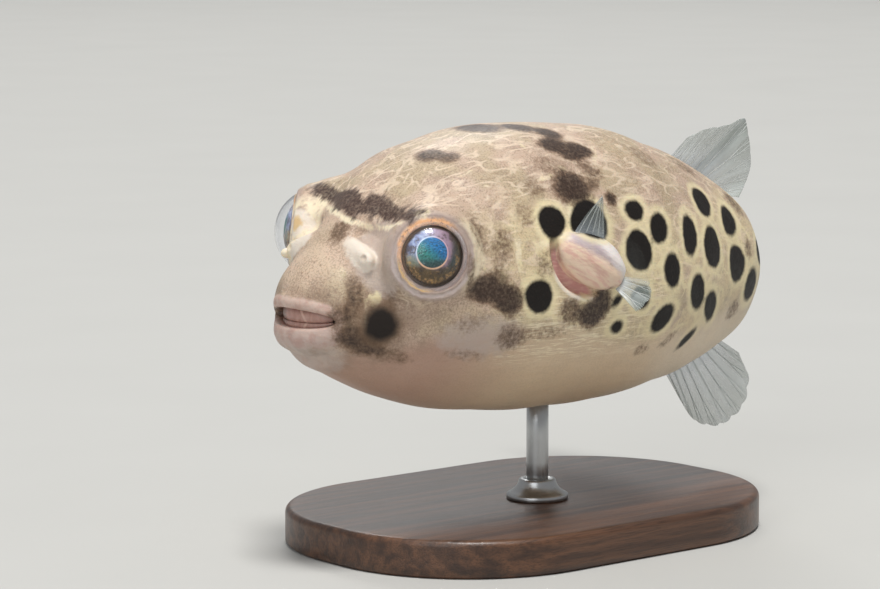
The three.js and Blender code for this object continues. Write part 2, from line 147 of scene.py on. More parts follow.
SECTIONS = (
    Section(2, 4.2, -4.9, 4.9, -0.2, 2.0, 2.1),
    Section(5, 7.6, -6.5, 7.0, 0.2, 1.9, 2.1),
    Section(8, 10.9, -8.0, 9.2, 0.8, 1.9, 2.1),
    Section(12, 13.8, -9.7, 12.0, 1.4, 2.15, 2.1),
    Section(18, 16.4, -11.4, 13.8, 1.7, 2.35, 2.1),
    Section(28, 18.0, -12.5, 14.6, 1.5, 2.25, 2.1),
    Section(38, 17.5, -12.6, 14.2, 1.5, 2.15, 2.1),
    Section(48, 14.9, -11.5, 11.8, 1.2, 2.05, 2.1),
    Section(54, 12.6, -10.2, 9.3, 0.9, 2.0, 2.1),
    Section(60, 9.2, -8.0, 6.5, 0.4, 2.0, 2.05),
    Section(65, 6.9, -5.9, 4.4, 0.2, 2.0, 2.0),
    Section(70, 5.6, -4.6, 3.0, 0.2, 2.0, 2.0),
    Section(76, 5.6, -4.3, 2.1, 0.5, 2.0, 2.0),
)


class Curve:
    """A smooth curve through given places that never swings past them."""

    def __init__(self, xs: Sequence[float], ys: Sequence[float]) -> None:
        """Fits the curve."""
        self.xs = np.array(xs, float)
        self.ys = np.array(ys, float)
        widths = np.diff(self.xs)
        slopes = np.diff(self.ys) / widths
        before, after = widths[:-1], widths[1:]
        w1, w2 = 2 * after + before, after + 2 * before
        rising = slopes[:-1] * slopes[1:] > 0
        safe = [np.where(rising, part, 1.0) for part in (slopes[:-1], slopes[1:])]
        inner = np.where(rising, (w1 + w2) / (w1 / safe[0] + w2 / safe[1]), 0.0)
        self.tangents = np.concatenate([slopes[:1], inner, slopes[-1:]])

    def __call__(self, at: Array) -> Array:
        """The curve's value at places between its ends."""
        x = np.clip(at, self.xs[0], self.xs[-1])
        i = np.clip(np.searchsorted(self.xs, x, side="right") - 1, 0, len(self.xs) - 2)
        h = self.xs[i + 1] - self.xs[i]
        t = (x - self.xs[i]) / h
        rest = 1 - t
        ends = (1 + 2 * t) * rest**2 * self.ys[i] + t * t * (3 - 2 * t) * self.ys[i + 1]
        bends = t * rest**2 * self.tangents[i] - t * t * rest * self.tangents[i + 1]
        return ends + h * bends


PROFILES = {
    key: Curve([section.at for section in SECTIONS], [getattr(section, key) for section in SECTIONS])
    for key in ("back", "belly", "half", "wide", "upper", "lower")
}


@dataclass(frozen=True)
class Backbone:
    """The fish's long axis: straight from the snout, then swung round to the right at the tail."""

    bend_start: float = 54.0
    bend_end: float = 74.0
    bend_angle: float = 100 * DEG
    step: float = 0.25
    along: float = 34.0
    aside: float = 2.0
    mouth_height: float = 27.1

    def heading(self, s: Array) -> Array:
        """Turn of the axis at a distance from the snout."""
        return self.bend_angle * ease(s, self.bend_start, self.bend_end)

    def place(self, points: Array) -> Array:
        """Moves points of the straight body into the frame.

        Args:
            points: Rows of s, l and z in millimetres.

        Returns:
            Rows of x, y and z in metres.
        """
        s, l, z = points[:, 0], points[:, 1], points[:, 2]
        knots = np.arange(0, 60, self.step) + self.bend_start
        turn = self.heading(knots[:-1] + self.step / 2)
        xs = np.concatenate([[0], np.cumsum(np.cos(turn))]) * self.step + self.bend_start
        ys = np.concatenate([[0], np.cumsum(np.sin(turn))]) * self.step
        past = s > self.bend_start
        x = np.where(past, np.interp(s, knots, xs), s)
        y = np.where(past, np.interp(s, knots, ys), 0)
        turn = self.heading(s)
        moved = [x + l * np.sin(turn) - self.along, y - l * np.cos(turn) - self.aside, z + self.mouth_height]
        return np.stack(moved, axis=1) * MM

    def reach(self, starts: Array, runs: Array) -> Array:
        """Frame places of things that leave the body straight: starts on it, and runs from there."""
        turn = self.heading(starts[:, 0])
        s, l, z = runs[:, 0], runs[:, 1], runs[:, 2]
        moved = [s * np.cos(turn) + l * np.sin(turn), s * np.sin(turn) - l * np.cos(turn), z]
        return self.place(starts) + np.stack(moved, axis=1) * MM


BACKBONE = Backbone()


@dataclass(frozen=True)
class Mound:
    """A ball on each side of the head that swells the skin."""

    at: float
    side: float
    height: float
    radius: float
    blend: float


@dataclass(frozen=True)
class EyeSetting:
    """Where the eyes sit and look. Angles are measured towards the snout and upwards."""

    orbit: Mound = Mound(11.2, 8.8, 6.4, 4.4, 2.4)
    brow: Mound = Mound(12.6, 7.9, 8.0, 3.7, 2.6)
    forward: float = 33 * DEG
    up: float = 6 * DEG
    proud: float = 1.15
    right_lift: float = 0.42
    ball: float = 3.4
    opening: float = 3.02
    cornea: float = 4.62
    cornea_top: float = 3.8
    cornea_wall: float = 0.12
    cornea_edge: float = 4.15
    haze_gap: float = 0.06
    haze_wall: float = 0.03
    gaze_left: float = 28 * DEG
    gaze_right: float = 49 * DEG

    def axis(self, forward: float, side: int) -> Array:
        """Direction in straight coordinates for an angle towards the snout."""
        flat = math.cos(self.up)
        return np.array([-math.sin(forward) * flat, side * math.cos(forward) * flat, math.sin(self.up)])

    def gaze(self, side: int) -> Array:
        """Direction in which one eye looks."""
        return self.axis(self.gaze_left if side == LEFT else self.gaze_right, side)

    def centre(self, side: int) -> Array:
        """Middle of one eyeball."""
        mound = np.array([self.orbit.at, self.orbit.side * side, self.orbit.height - side * self.right_lift])
        return mound + self.axis(self.forward, side) * self.proud

    def polar(self, p: Array) -> tuple[Array, Array, Array, Array]:
        """Places points round the nearer eye.

        Args:
            p: Rows of s, l and z.

        Returns:
            The distance along the gaze, the distance from it, and the shares of that towards the
            snout and upwards.
        """
        out = []
        for side in (LEFT, RIGHT):
            flip = np.array([1, side, 1])
            axis = self.gaze(side) * flip
            rel = folded(p) - self.centre(side) * flip
            along = rel @ axis
            flat = rel - along[..., None] * axis
            radius = np.linalg.norm(flat, axis=-1)
            safe = np.maximum(radius, 1e-6)
            ahead, up = orthogonal(axis)
            out.append((along, radius, flat @ ahead / safe, flat @ up / safe))
        return tuple(np.where(p[..., 1] >= 0, a, b) for a, b in zip(*out))


EYES = EyeSetting()


@dataclass(frozen=True)
class Mouth:
    """The small open mouth, swept round a pivot inside the head."""

    pivot: float = 6.0
    reach: float = 5.8
    widening: float = 0.55
    depth: float = 2.4
    half_angle: float = 53 * DEG
    gape: float = 0.98
    upper_lip: float = 0.7
    lower_lip: float = 1.2
    proud: float = 0.2

    def polar(self, p: Array) -> tuple[Array, Array]:
        """Angle from straight ahead and distance from the pivot."""
        ahead = self.pivot - p[..., 0]
        return np.arctan2(p[..., 1], ahead), np.hypot(ahead, p[..., 1])

    def front(self, angle: Array) -> Array:
        """Distance from the pivot to the front of the lips."""
        return self.reach + self.widening * np.sin(angle) ** 2 + self.proud

    def point(self, angle: Array, distance: Array, z: Array) -> Array:
        """Straight coordinates of places round the pivot."""
        return np.stack([self.pivot - distance * np.cos(angle), distance * np.sin(angle), z], axis=-1)

    def line(self, t: Array) -> tuple[Array, Array]:
        """Height of the mouth's line and half its opening, from the middle (0) to a corner (1)."""
        return -0.35 - 0.12 * t * t, self.gape * np.sqrt(np.maximum(1 - np.abs(t) ** 2.2, 0))

    def rolls(self, shape: Array, p: Array) -> Array:
        """Adds both lips to a field."""
        angle, distance = self.polar(p)
        t = np.clip(np.abs(angle) / self.half_angle, 0, 1.15)
        height, gap = self.line(np.minimum(t, 1))
        front = self.front(angle)
        beyond = np.maximum(np.abs(angle) - self.half_angle, 0) * self.reach
        for way, thick, fillet in ((1, self.upper_lip, 0.5), (-1, self.lower_lip, 1.2)):
            uneven = 0.06 * np.sin(9 * angle + way) + 0.04 * np.sin(23 * angle + 2 * way)
            radius = thick * (1 - 0.35 * np.minimum(t, 1) ** 2) * (1 + uneven)
            z = p[..., 2] - height - way * (gap + thick * 0.9)
            roll = np.sqrt((distance - front + thick) ** 2 + z**2 + beyond**2) - radius
            shape = smooth_min(shape, roll, fillet)
        return shape

    def hollow(self, shape: Array, p: Array) -> Array:
        """Cuts the open mouth out of a field."""
        angle, distance = self.polar(p)
        t = np.abs(angle) / self.half_angle
        height, gap = self.line(np.minimum(t, 1))
        inner = self.reach - self.depth
        taper = 0.62 + 0.38 * ease(distance, inner, self.reach - 0.8)
        beyond = np.maximum(t - 1, 0) * self.half_angle * self.reach
        over = np.abs(p[..., 2] - height) - gap * taper
        slot = np.hypot(np.maximum(over, 0), beyond)
        slot = np.where(slot > 0, slot, over)
        slot = smooth_max(slot, inner - distance, 0.6)
        slot = np.where(p[..., 0] < self.pivot, slot, 9.0)
        return smooth_max(shape, -slot, 0.3)

    def lining(self, p: Array) -> Array:
        """How far a skin point lies inside the mouth, from 0 to 1."""
        angle, distance = self.polar(p)
        t = np.clip(np.abs(angle) / self.half_angle, 0, 1)
        height, gap = self.line(t)
        inside = ease(self.front(angle) - distance, 0.45, 1.2) * (np.abs(p[..., 2] - height) < gap + 0.35)
        return inside * (p[..., 0] < self.pivot)

    def lip_colour(self, p: Array) -> tuple[Array, Array]:
        """Masks of the upper and lower lips' bare edges."""
        angle, _ = self.polar(p)
        t = np.abs(angle) / self.half_angle
        height, gap = self.line(np.clip(t, 0, 1))
        ends = ease(t, 1.25, 1.0) * (p[..., 0] < self.pivot)
        over = p[..., 2] - height
        upper = ease(over, gap + 1.6, gap + 0.9) * (over > 0)
        lower = ease(-over, gap + 2.9, gap + 1.2) * (over <= 0)
        return upper * ends, lower * ends


MOUTH = Mouth()


@dataclass(frozen=True)
class Nostrils:
    """A soft flap on each side of the snout that ends in a shallow cup."""

    swellings: tuple[tuple[float, float, float, float], ...] = (
        (5.75, 3.1, 6.75, 0.35),
        (5.65, 3.9, 6.5, 0.5),
        (5.55, 4.75, 6.2, 0.62),
        (5.5, 5.6, 5.92, 0.62),
        (5.45, 6.35, 5.7, 0.46),
    )
    right_tip: Triple = (5.75, -7.7, 5.15)
    tip_radius: float = 0.5
    cup: Triple = (4.84, 6.15, 5.98)
    cup_radius: float = 0.36

    def flesh(self, q: Array) -> Array:
        """Field of one flap."""
        shape = np.full(q.shape[:-1], 9.0)
        for s, l, z, radius in self.swellings:
            ball = np.linalg.norm((q - np.array([s, l, z])) * np.array([1.35, 1.0, 1.0]), axis=-1) - radius
            shape = smooth_min(shape, ball, 1.1)
        return shape

    def flaps(self, shape: Array, p: Array) -> Array:
        """Adds both flaps to a field, with the hollow groove behind each."""
        q = folded(p)
        groove = ellipsoid(q, (6.6, 4.6, 8.3), (1.3, 1.6, 1.1))
        shape = smooth_max(shape, -groove, 1.0)
        shape = smooth_min(shape, self.flesh(q), 1.3)
        shape = smooth_min(shape, away(p, self.right_tip) - self.tip_radius, 0.9)
        return smooth_max(shape, self.cup_radius - away(q, self.cup), 0.25)

    def mask(self, p: Array) -> Array:
        """Whitish skin of the flaps, from 0 to 1."""
        tip = away(p, self.right_tip) - self.tip_radius
        return ease(smooth_min(self.flesh(folded(p)), tip, 0.9), 1.0, 0.1)

    def cup_mask(self, p: Array) -> Array:
        """Shaded hollows at their ends, from 0 to 1."""
        return ease(away(folded(p), self.cup), self.cup_radius + 0.2, self.cup_radius)


NOSTRILS = Nostrils()


@dataclass(frozen=True)
class PectoralLobe:
    """The fleshy lobe of a pectoral fin, and the gill opening that curls round it."""

    at: float = 28.2
    height: float = 4.7
    out: float = 14.9
    reach: Triple = (4.3, 1.55, 2.55)
    tilt: float = 31 * DEG
    shear: float = 0.16
    rim_at: float = 28.2
    rim_height: float = 6.0
    rim_radius: float = 5.2
    gill_depth: float = 1.0
    core: float = 7.0

    def local(self, p: Array) -> tuple[Array, Array, Array]:
        """Distances along, across and out from the lobe's middle."""
        ds, dz = p[..., 0] - self.at, p[..., 2] - self.height
        c, s = math.cos(self.tilt), math.sin(self.tilt)
        along = ds * c - dz * s
        across = ds * s + dz * c
        out = np.abs(p[..., 1]) - self.out - self.shear * ds
        return along, across, out

    def place(self, along: Array, across: Array, out: float, side: int) -> Array:
        """Straight coordinates of places given along, across and out from a lobe's middle."""
        c, s = math.cos(self.tilt), math.sin(self.tilt)
        ds, dz = along * c + across * s, across * c - along * s
        return np.stack([self.at + ds, side * (self.out + out + self.shear * ds), self.height + dz], axis=-1)

    def egg(self, p: Array) -> Array:
        """Field of the plain egg shape of a lobe."""
        along, across, out = self.local(p)
        return ellipsoid(np.stack([along, out, across], axis=-1), (0, 0, 0), self.reach)

    def flesh(self, shape: Array, p: Array) -> Array:
        """Adds the lobes to a field."""
        along, across, out = self.local(p)
        ridges = 0.07 * np.sin(across * 4.2 + 0.25 * along) * ease(out, -0.5, 1.0) * ease(along, -3, 0)
        return smooth_min(shape, self.egg(p) + ridges, 0.7)

    def rim(self, p: Array) -> tuple[Array, Array, Array]:
        """Distance from the rim's centre, angle round it, and how far a place is in the gill opening."""
        ds, dz = p[..., 0] - self.rim_at, p[..., 2] - self.rim_height
        angle = np.mod(np.arctan2(dz, ds), 2 * math.pi) / DEG
        wedge = ease(angle, 158, 182) * ease(angle, 292, 262) * (np.abs(p[..., 1]) > self.core)
        return np.hypot(ds, dz), angle, wedge

    def gill(self, shape: Array, p: Array) -> Array:
        """Sinks the gill opening behind the edge of the gill cover, before the lobe is added."""
        radius, _, wedge = self.rim(p)
        sunk = ease(radius, self.rim_radius, self.rim_radius - 0.6) * ease(radius, 1.6, 4.4)
        edge = 0.22 * bell(radius, self.rim_radius + 0.25, 0.4)
        return shape + wedge * (self.gill_depth * sunk - edge)

    def masks(self, p: Array) -> Values:
        """Colour masks of the gill's pink floor, its pale edge, a painted shadow just inside its upper rim,
        and the lobe.
        """
        radius, angle, wedge = self.rim(p)
        on_lobe = ease(self.egg(p), 0.5, 0.0) * (np.abs(p[..., 1]) > self.core)
        floor = wedge * ease(radius, self.rim_radius - 0.1, self.rim_radius - 0.5) * (1 - on_lobe)
        edge = wedge * bell(radius, self.rim_radius + 0.1, 0.35)
        # Painted shadow: a dark band just inside the upper part of the gill cover's rim.
        slit_shadow = wedge * bell(radius, self.rim_radius - 0.25, 0.28) * ease(angle, 214, 196)
        return {"gill": floor, "gill_edge": edge * ease(angle, 196, 214), "slit_shadow": slit_shadow, "lobe": on_lobe}


LOBE = PectoralLobe()


@dataclass(frozen=True)
class Flesh:
    """The whole fleshy form as one field in straight coordinates."""

    snout: Triple = (5.0, 0.0, 0.0)
    snout_reach: Triple = (4.85, 5.8, 5.55)
    snout_blend: float = 1.6
    front: float = 2.6
    lid_level: float = 1.78
    lid_width: float = 3.8
    socket_clear: float = 0.1
    socket_floor: float = -0.6

    def trunk(self, p: Array) -> Array:
        """The body without mouth, lids or lobes."""
        s, l, z = p[..., 0], p[..., 1], p[..., 2]
        wide, half = PROFILES["wide"](s), PROFILES["half"](s)
        above = z >= wide
        tall = np.where(above, PROFILES["back"](s) - wide, wide - PROFILES["belly"](s))
        power = np.where(above, PROFILES["upper"](s), PROFILES["lower"](s))
        q = (np.abs(l / half) ** power + np.abs((z - wide) / tall) ** power) ** (1 / power)
        shape = smooth_max((q - 1) * np.minimum(half, tall), self.front - s, 0.8)
        shape = smooth_max(shape, s - SECTIONS[-1].at, 0.8)
        shape = smooth_min(shape, ellipsoid(p, self.snout, self.snout_reach), self.snout_blend)
        for mound in (EYES.orbit, EYES.brow):
            height = mound.height - EYES.right_lift * np.clip(l / mound.side, -1, 1)
            offset = [s - mound.at, np.abs(l) - mound.side, z - height]
            distance = np.sqrt(sum(part**2 for part in offset)) - mound.radius
            shape = smooth_min(shape, distance, mound.blend)
        return shape

    def orbits(self, shape: Array, p: Array) -> Array:
        """Opens the eye sockets and lays the rings of loose skin round them."""
        along, radius, ahead, up = EYES.polar(p)
        in_front = ease(along, -1.0, 0.6)
        cut = np.maximum(self.lid_level + 0.12 * up - along, radius - self.lid_width)
        shape = smooth_max(shape, -cut, 0.9)
        lid = np.hypot(radius - EYES.opening - 0.45, along - 1.36) - 0.38
        shape = smooth_min(shape, lid, 0.6)
        fold = np.hypot(radius - (4.1 + 0.2 * ahead - 0.1 * up), along - 0.7) - 0.4
        shape = smooth_min(shape, fold, 1.4)
        wave = np.sin((radius - 3.0) * 8.0 + 0.6 * up) * ease(radius, 3.3, 3.7) * ease(radius, 6.0, 4.2)
        shape = shape + 0.04 * wave * in_front
        distance = np.sqrt(along**2 + radius**2)
        socket = distance - EYES.ball - self.socket_clear
        front = np.hypot(along - 0.55, radius) - EYES.opening - 0.19
        bowl = smooth_max(np.minimum(socket, front), self.socket_floor - along, 0.4)
        return smooth_max(shape, -bowl, 0.3)

    def creases(self, shape: Array, p: Array) -> Array:
        """Presses in the fold under the chin, the groove of the mouth's corners and small unevenness."""
        s, l, z = p[..., 0], p[..., 1], p[..., 2]
        under = ease(z, -2.5, -4.2)
        shape = shape + 0.30 * bell(s - 0.03 * l * l, 2.35, 0.55) * under * ease(np.abs(l), 5.5, 2.5)
        corner = np.sqrt((s - 2.9) ** 2 + (np.abs(l) - 5.3) ** 2 + (z + 1.3) ** 2)
        shape = shape + 0.28 * bell(corner, 0.4, 0.8)
        uneven = np.sin(0.55 * s + 0.4 * z) * np.sin(0.5 * l - 0.3 * s + 1.0) * np.sin(0.47 * z + 0.8)
        return shape + 0.10 * uneven * ease(s, 14, 22)

    def field(self, p: Array) -> Array:
        """Signed field of the finished flesh, negative inside."""
        shape = self.trunk(p)
        shape = self.creases(shape, p)
        shape = LOBE.gill(shape, p)
        shape = LOBE.flesh(shape, p)
        shape = MOUTH.rolls(shape, p)
        shape = MOUTH.hollow(shape, p)
        shape = NOSTRILS.flaps(shape, p)
        return self.orbits(shape, p)

    def slope(self, p: Array, step: float = 0.02) -> Array:
        """Gradient of the field by central differences."""
        parts = []
        for k in range(3):
            offset = np.zeros(3)
            offset[k] = step
            parts.append((self.field(p + offset) - self.field(p - offset)) / (2 * step))
        return np.stack(parts, axis=-1)


FLESH = Flesh()


# ---------------------------------------------------------------- meshing


class SkinMesher:
    """Turns the field into an even triangle mesh that is finer round the small forms."""

    def __init__(self, quick: bool) -> None:
        """Chooses the grid's steps."""
        coarse = 1.5 if quick else 1.0
        self.along = self.steps([(-0.9, 0.26), (8, 0.42), (33, 0.6), (77.2, 0.6)], coarse)
        self.aside = self.steps([(-18.2, 0.42), (-6, 0.34), (6, 0.42), (18.2, 0.42)], coarse)
        self.height = self.steps([(-14, 0.55), (-4, 0.26), (1.6, 0.42), (19.6, 0.42)], coarse)
        self.coarse = coarse

    @staticmethod
    def steps(stretches: Sequence[tuple[float, float]], coarse: float) -> Array:
        """Grid lines through stretches, each given by its start and its spacing."""
        lines = [np.array([stretches[0][0]])]
        for (start, spacing), (end, _) in zip(stretches, stretches[1:]):
            count = max(1, round((end - start) / spacing / coarse))
            lines.append(np.linspace(start, end, count + 1)[1:])
        return np.concatenate(lines)

    def net(self) -> tuple[Array, Array]:
        """The surface as one point for each grid cell that it passes, joined by triangles.

        Returns:
            Points in straight coordinates, and triangles that face outwards.
        """
        axes = (self.along, self.aside, self.height)
        grid = np.stack(np.meshgrid(*axes, indexing="ij"), axis=-1)
        values = np.concatenate([FLESH.field(slab[None]) for slab in grid])
        cells = tuple(n - 1 for n in values.shape)
        total = np.zeros((*cells, 3))
        count = np.zeros(cells)
        quads = []
        for axis in range(3):
            low, high = [slice(None)] * 3, [slice(None)] * 3
            low[axis], high[axis] = slice(None, -1), slice(1, None)
            a, b = values[tuple(low)], values[tuple(high)]
            place = np.argwhere((a < 0) != (b < 0))
            va, vb = a[tuple(place.T)], b[tuple(place.T)]
            t = va / (va - vb)
            start = grid[tuple(place.T)]
            onward = place.copy()
            onward[:, axis] += 1
            cross = start + (grid[tuple(onward.T)] - start) * t[:, None]
            u, v = (axis + 1) % 3, (axis + 2) % 3
            around = []
            for du, dv in ((-1, -1), (0, -1), (0, 0), (-1, 0)):
                cell = place.copy()
                cell[:, u] += du
                cell[:, v] += dv
                np.add.at(total, tuple(cell.T), cross)
                np.add.at(count, tuple(cell.T), 1)
                around.append(np.ravel_multi_index(tuple(cell.T), cells))
            loop = np.stack(around, axis=1)
            quads.append(np.where((va < 0)[:, None], loop, loop[:, ::-1]))
        quads = np.concatenate(quads)
        used, index = np.unique(quads, return_inverse=True)
        quads = index.reshape(quads.shape)
        points = total.reshape(-1, 3)[used] / count.reshape(-1)[used][:, None]
        return points, np.concatenate([quads[:, [0, 1, 2]], quads[:, [0, 2, 3]]])

    @staticmethod
    def settle(points: Array, faces: Array, rounds: int, relax: float = 0.5) -> Array:
        """Evens out the points and pulls them back onto the surface.

        Args:
            points: Points in straight coordinates.
            faces: Triangles.
            rounds: How often both are done.
            relax: Share of the way to the middle of the neighbours.

        Returns:
            The settled points.
        """
        ends = np.concatenate([faces[:, [0, 1]], faces[:, [1, 2]], faces[:, [2, 0]]])
        degree = np.bincount(ends[:, 0], minlength=len(points))[:, None]
        for _ in range(rounds):
            if relax:
                around = [np.bincount(ends[:, 0], points[ends[:, 1], k], len(points)) for k in range(3)]
                points = points + relax * (np.stack(around, axis=1) / degree - points)
            for _ in range(2):
                slope = FLESH.slope(points)
                steep = np.maximum((slope**2).sum(axis=1), 0.05)
                move = -(FLESH.field(points) / steep)[:, None] * slope
                length = np.linalg.norm(move, axis=1, keepdims=True)
                points = points + move * np.minimum(1, 0.3 / np.maximum(length, 1e-9))
        return points

    def wanted(self, p: Array) -> Array:
        """Longest edge allowed at places on the skin."""
        along, radius, _, _ = EYES.polar(p)
        ring, _, wedge = LOBE.rim(p)
        near_eye = (radius < 5.0) & (along > 0)
        on_head = p[:, 0] < 12
        at_mouth = (p[:, 0] < 3.6) & (np.abs(p[:, 2] + 1) < 3.6)
        at_nostril = NOSTRILS.mask(p) > 0.01
        at_gill = (ring < 6.2) & (wedge > 0.02)
        size = np.full(len(p), 0.7)
        zones = ((near_eye, 0.3), (on_head, 0.5), (at_mouth, 0.2), (at_nostril, 0.2), (at_gill, 0.28))
        for zone, edge in zones:
            size[zone] = np.minimum(size[zone], edge)
        return size * self.coarse

    def refine(self, points: Array, faces: Array) -> tuple[Array, Array, int]:
        """Splits the edges that are longer than wanted, once.

        Returns:
            The points, the triangles and how many edges were split.
        """
        corners = np.stack([faces, np.roll(faces, -1, axis=1)], axis=2)
        pairs = np.sort(corners.reshape(-1, 2), axis=1)
        edges, index = np.unique(pairs, axis=0, return_inverse=True)
        index = index.reshape(-1, 3)
        length = np.linalg.norm(points[edges[:, 0]] - points[edges[:, 1]], axis=1)
        middle = points[edges].mean(axis=1)
        split = length > self.wanted(middle)
        longest = index[np.arange(len(index)), length[index].argmax(axis=1)]
        for _ in range(6):
            split[longest[split[index].any(axis=1)]] = True
        number = np.full(len(edges), -1)
        number[split] = len(points) + np.arange(split.sum())
        points = np.concatenate([points, middle[split]])
        cut = number[index]
        count = (cut >= 0).sum(axis=1)
        out = [faces[count == 0]]

        def add(chosen: Array, turn: int, *kinds: str) -> None:
            """Adds triangles between the corners (a, b, c) and cuts (d, e, f) of the chosen faces."""
            corners = np.roll(faces, -turn, axis=1)[chosen]
            cuts = np.roll(cut, -turn, axis=1)[chosen]
            both = np.concatenate([corners, cuts], axis=1)
            out.extend(both[:, ["abcdef".index(letter) for letter in kind]] for kind in kinds)

        add(count == 3, 0, "def", "adf", "dbe", "fec")
        for turn in range(3):
            is_cut = np.roll(cut, -turn, axis=1) >= 0
            add((count == 1) & is_cut[:, 0], turn, "adc", "dbc")
            add((count == 2) & is_cut[:, 0] & is_cut[:, 1], turn, "dbe", "ade", "aec")
        return points, np.concatenate(out), int(split.sum())

    def build(self) -> tuple[Array, Array]:
        """The finished skin in straight coordinates."""
        points, faces = self.net()
        LOG.info("skin net: %d points, %d triangles", len(points), len(faces))
        points = self.settle(points, faces, 3)
        for _ in range(3):
            points, faces, cuts = self.refine(points, faces)
            points = self.settle(points, faces, 1, 0.35)
            LOG.info("skin refined: %d triangles, %d cuts", len(faces), cuts)
            if not cuts:
                break
        return self.settle(points, faces, 1, 0.0), faces


# ---------------------------------------------------------------- markings


class Tone(Enum):
    """How a mark is coloured."""

    BLACK = "crisp and nearly black"
    SMOKE = "soft and brown"
    PALE = "soft and cream"


@dataclass(frozen=True)
class Spot:
    """A mark on one flank.

    at is its place back from the snout and angle its place round the body above the side; long and
    high are its half sizes in millimetres, and tilt turns them.
    """

    tone: Tone
    at: float
    angle: float
    long: float
    high: float
    strength: float = 1.0
    tilt: float = 0.0


# Rows of at, angle, long, high, strength and tilt, in the order in which they are laid.
FLANK_SPOTS = tuple(
    Spot(tone, *row)
    for tone, rows in (
        (Tone.BLACK, (
            (6, -10, 1.45, 1.85), (21.5, 1, 1.8, 1.65), (24, 30, 1.75, 1.6), (29, 28.5, 2.6, 2.4, 1, -10),
            (36, 32.5, 1.35, 1.15), (39.2, 25, 1.3, 1.75, 1, -30), (35.6, 16.3, 1.95, 2.15, 1, -10),
            (40.7, 7, 1.4, 1.8), (44.8, 22.5, 1.45, 2.15, 1, -12), (49.4, 17, 1.9, 2.25),
            (45.9, -5.3, 1.4, 2.05, 1, 18), (49.2, -15.5, 1.2, 1.95, 1, 22), (39.6, -14, 1.9, 1.25, 1, 38),
            (35.7, -3.3, 1.45, 1.25), (55.2, 6.5, 1.7, 1.95), (58.2, -14.5, 1.2, 1.75),
            (49.5, 41.5, 1.6, 1.9, 1, -35), (54.8, 36, 1.3, 1.9, 1, -25), (45.6, -30, 1.5, 0.6, 1, 42),
            (32.6, -15, 0.85, 0.7, 1, 20), (32.2, -3.6, 0.85, 0.42, 1, 45), (60.9, 13, 1.3, 1.5),
            (64.5, -4, 1.2, 1.3), (68.5, 12, 1, 1),
        )),
        (Tone.SMOKE, (
            (15.2, 5.5, 2, 1.7, 1), (17.8, 0.3, 1.9, 1.8, 1), (16.6, 9, 1.6, 1.5, 0.5),
            (17.4, 22.5, 1.5, 2.2, 0.46, -12), (14.8, 29, 1.1, 2.5, 0.42, 15), (13.2, 13, 0.6, 2.6, 0.45),
            (28.1, 42.5, 2.7, 2.3, 1), (31.7, 50, 2, 1.3, 0.5, -30), (31.4, 43.5, 0.9, 0.9, 0.5),
            # (28.6, -8) lies under the fin lobe: painted shadow of the lobe.
            (33, 37.5, 0.95, 0.9, 0.9), (28.6, -8, 2.1, 1.7, 1),
        )),
        (Tone.PALE, (
            (27.4, -2.2, 1.1, 0.8, 1, 20),
        )),
        (Tone.SMOKE, (
            # (30.1, -3.5) lies under the fin lobe: painted shadow of the lobe.
            (30.1, -3.5, 1.4, 1.8, 0.9), (25.6, -6.5, 1.6, 1.7, 0.6), (23, -15, 3, 0.9, 0.35),
            (55.4, -28.5, 1.5, 1.3, 0.45), (37.6, -28.6, 1.3, 0.9, 0.4), (41.5, -26, 1.9, 0.8, 0.4, 25),
            (57.7, 17, 0.7, 1.4, 0.5), (24.9, 88, 2.1, 3.4, 1), (28.4, 80, 1.9, 2.2, 1),
            (30.6, 72, 1.7, 1.7, 1), (29.2, 63, 2.1, 1.6, 1), (32.2, 60, 1.9, 1.4, 1, -20),
            (30.6, 57, 1.6, 1, 0.85), (26.6, 53, 2.6, 1.5, 0.36), (23.2, 44.5, 1.5, 1.6, 0.42),
            (16.1, 77.5, 1.6, 1.7, 0.78), (17, 69.5, 1.5, 1.2, 0.66), (22.4, 14, 1.7, 1.7, 0.38),
            (20.8, 34, 1.5, 1.7, 0.36), (42, 60, 2.4, 2, 0.35), (50.5, 66, 2.2, 2, 0.4),
            (58, 55, 1.8, 1.6, 0.5), (66, 50, 1.6, 1.2, 0.5), (2.4, 0, 1, 1.3, 0.55),
            (3.5, -20, 1.6, 1.3, 0.72), (5.1, -29.5, 1.8, 1.3, 0.66), (7.5, -33, 2.2, 1.2, 0.4),
            (4.1, 24, 1, 2, 0.5), (3.7, 6, 1, 1.8, 0.5), (6.7, 5, 0.8, 1.4, 0.4),
            (5.7, 80, 1.2, 1.4, 0.55), (13.6, -10, 2.4, 1.3, 0.25), (18.6, -16, 2.2, 1.8, 0.5),
            (14, -26, 2.6, 0.9, 0.3),
        )),
        (Tone.PALE, (
            (5.6, 10.5, 0.75, 0.95, 0.95), (4.75, -2, 0.32, 2.6, 0.6), (7.2, -16, 1.2, 0.9, 0.4, 30),
            (3.7, 40, 0.5, 1.6, 0.55), (9.3, 43, 1, 0.9, 0.85), (14.9, 22, 0.42, 2.9, 0.85, 6),
            (14.2, 10, 0.45, 1.6, 0.6, -25), (17.1, 10, 0.9, 1, 0.8), (19.2, 19.5, 0.5, 2.6, 0.9),
            (19.6, 34, 1, 0.8, 0.7), (22.6, 21.5, 1.4, 0.7, 0.7), (26.7, 32, 0.55, 1.6, 0.9),
            (25.2, 47.5, 1.9, 0.42, 0.8, 12), (27.9, 51, 0.9, 0.5, 0.8, -20),
            (18.3, 47.5, 1.4, 0.26, 0.75, -28), (16.4, 57, 2.2, 0.28, 0.7, 8), (25.2, 64, 0.35, 1.3, 0.7),
            (34, 58, 0.5, 2.6, 0.7, -30),
        )),
    )
    for row in rows
)


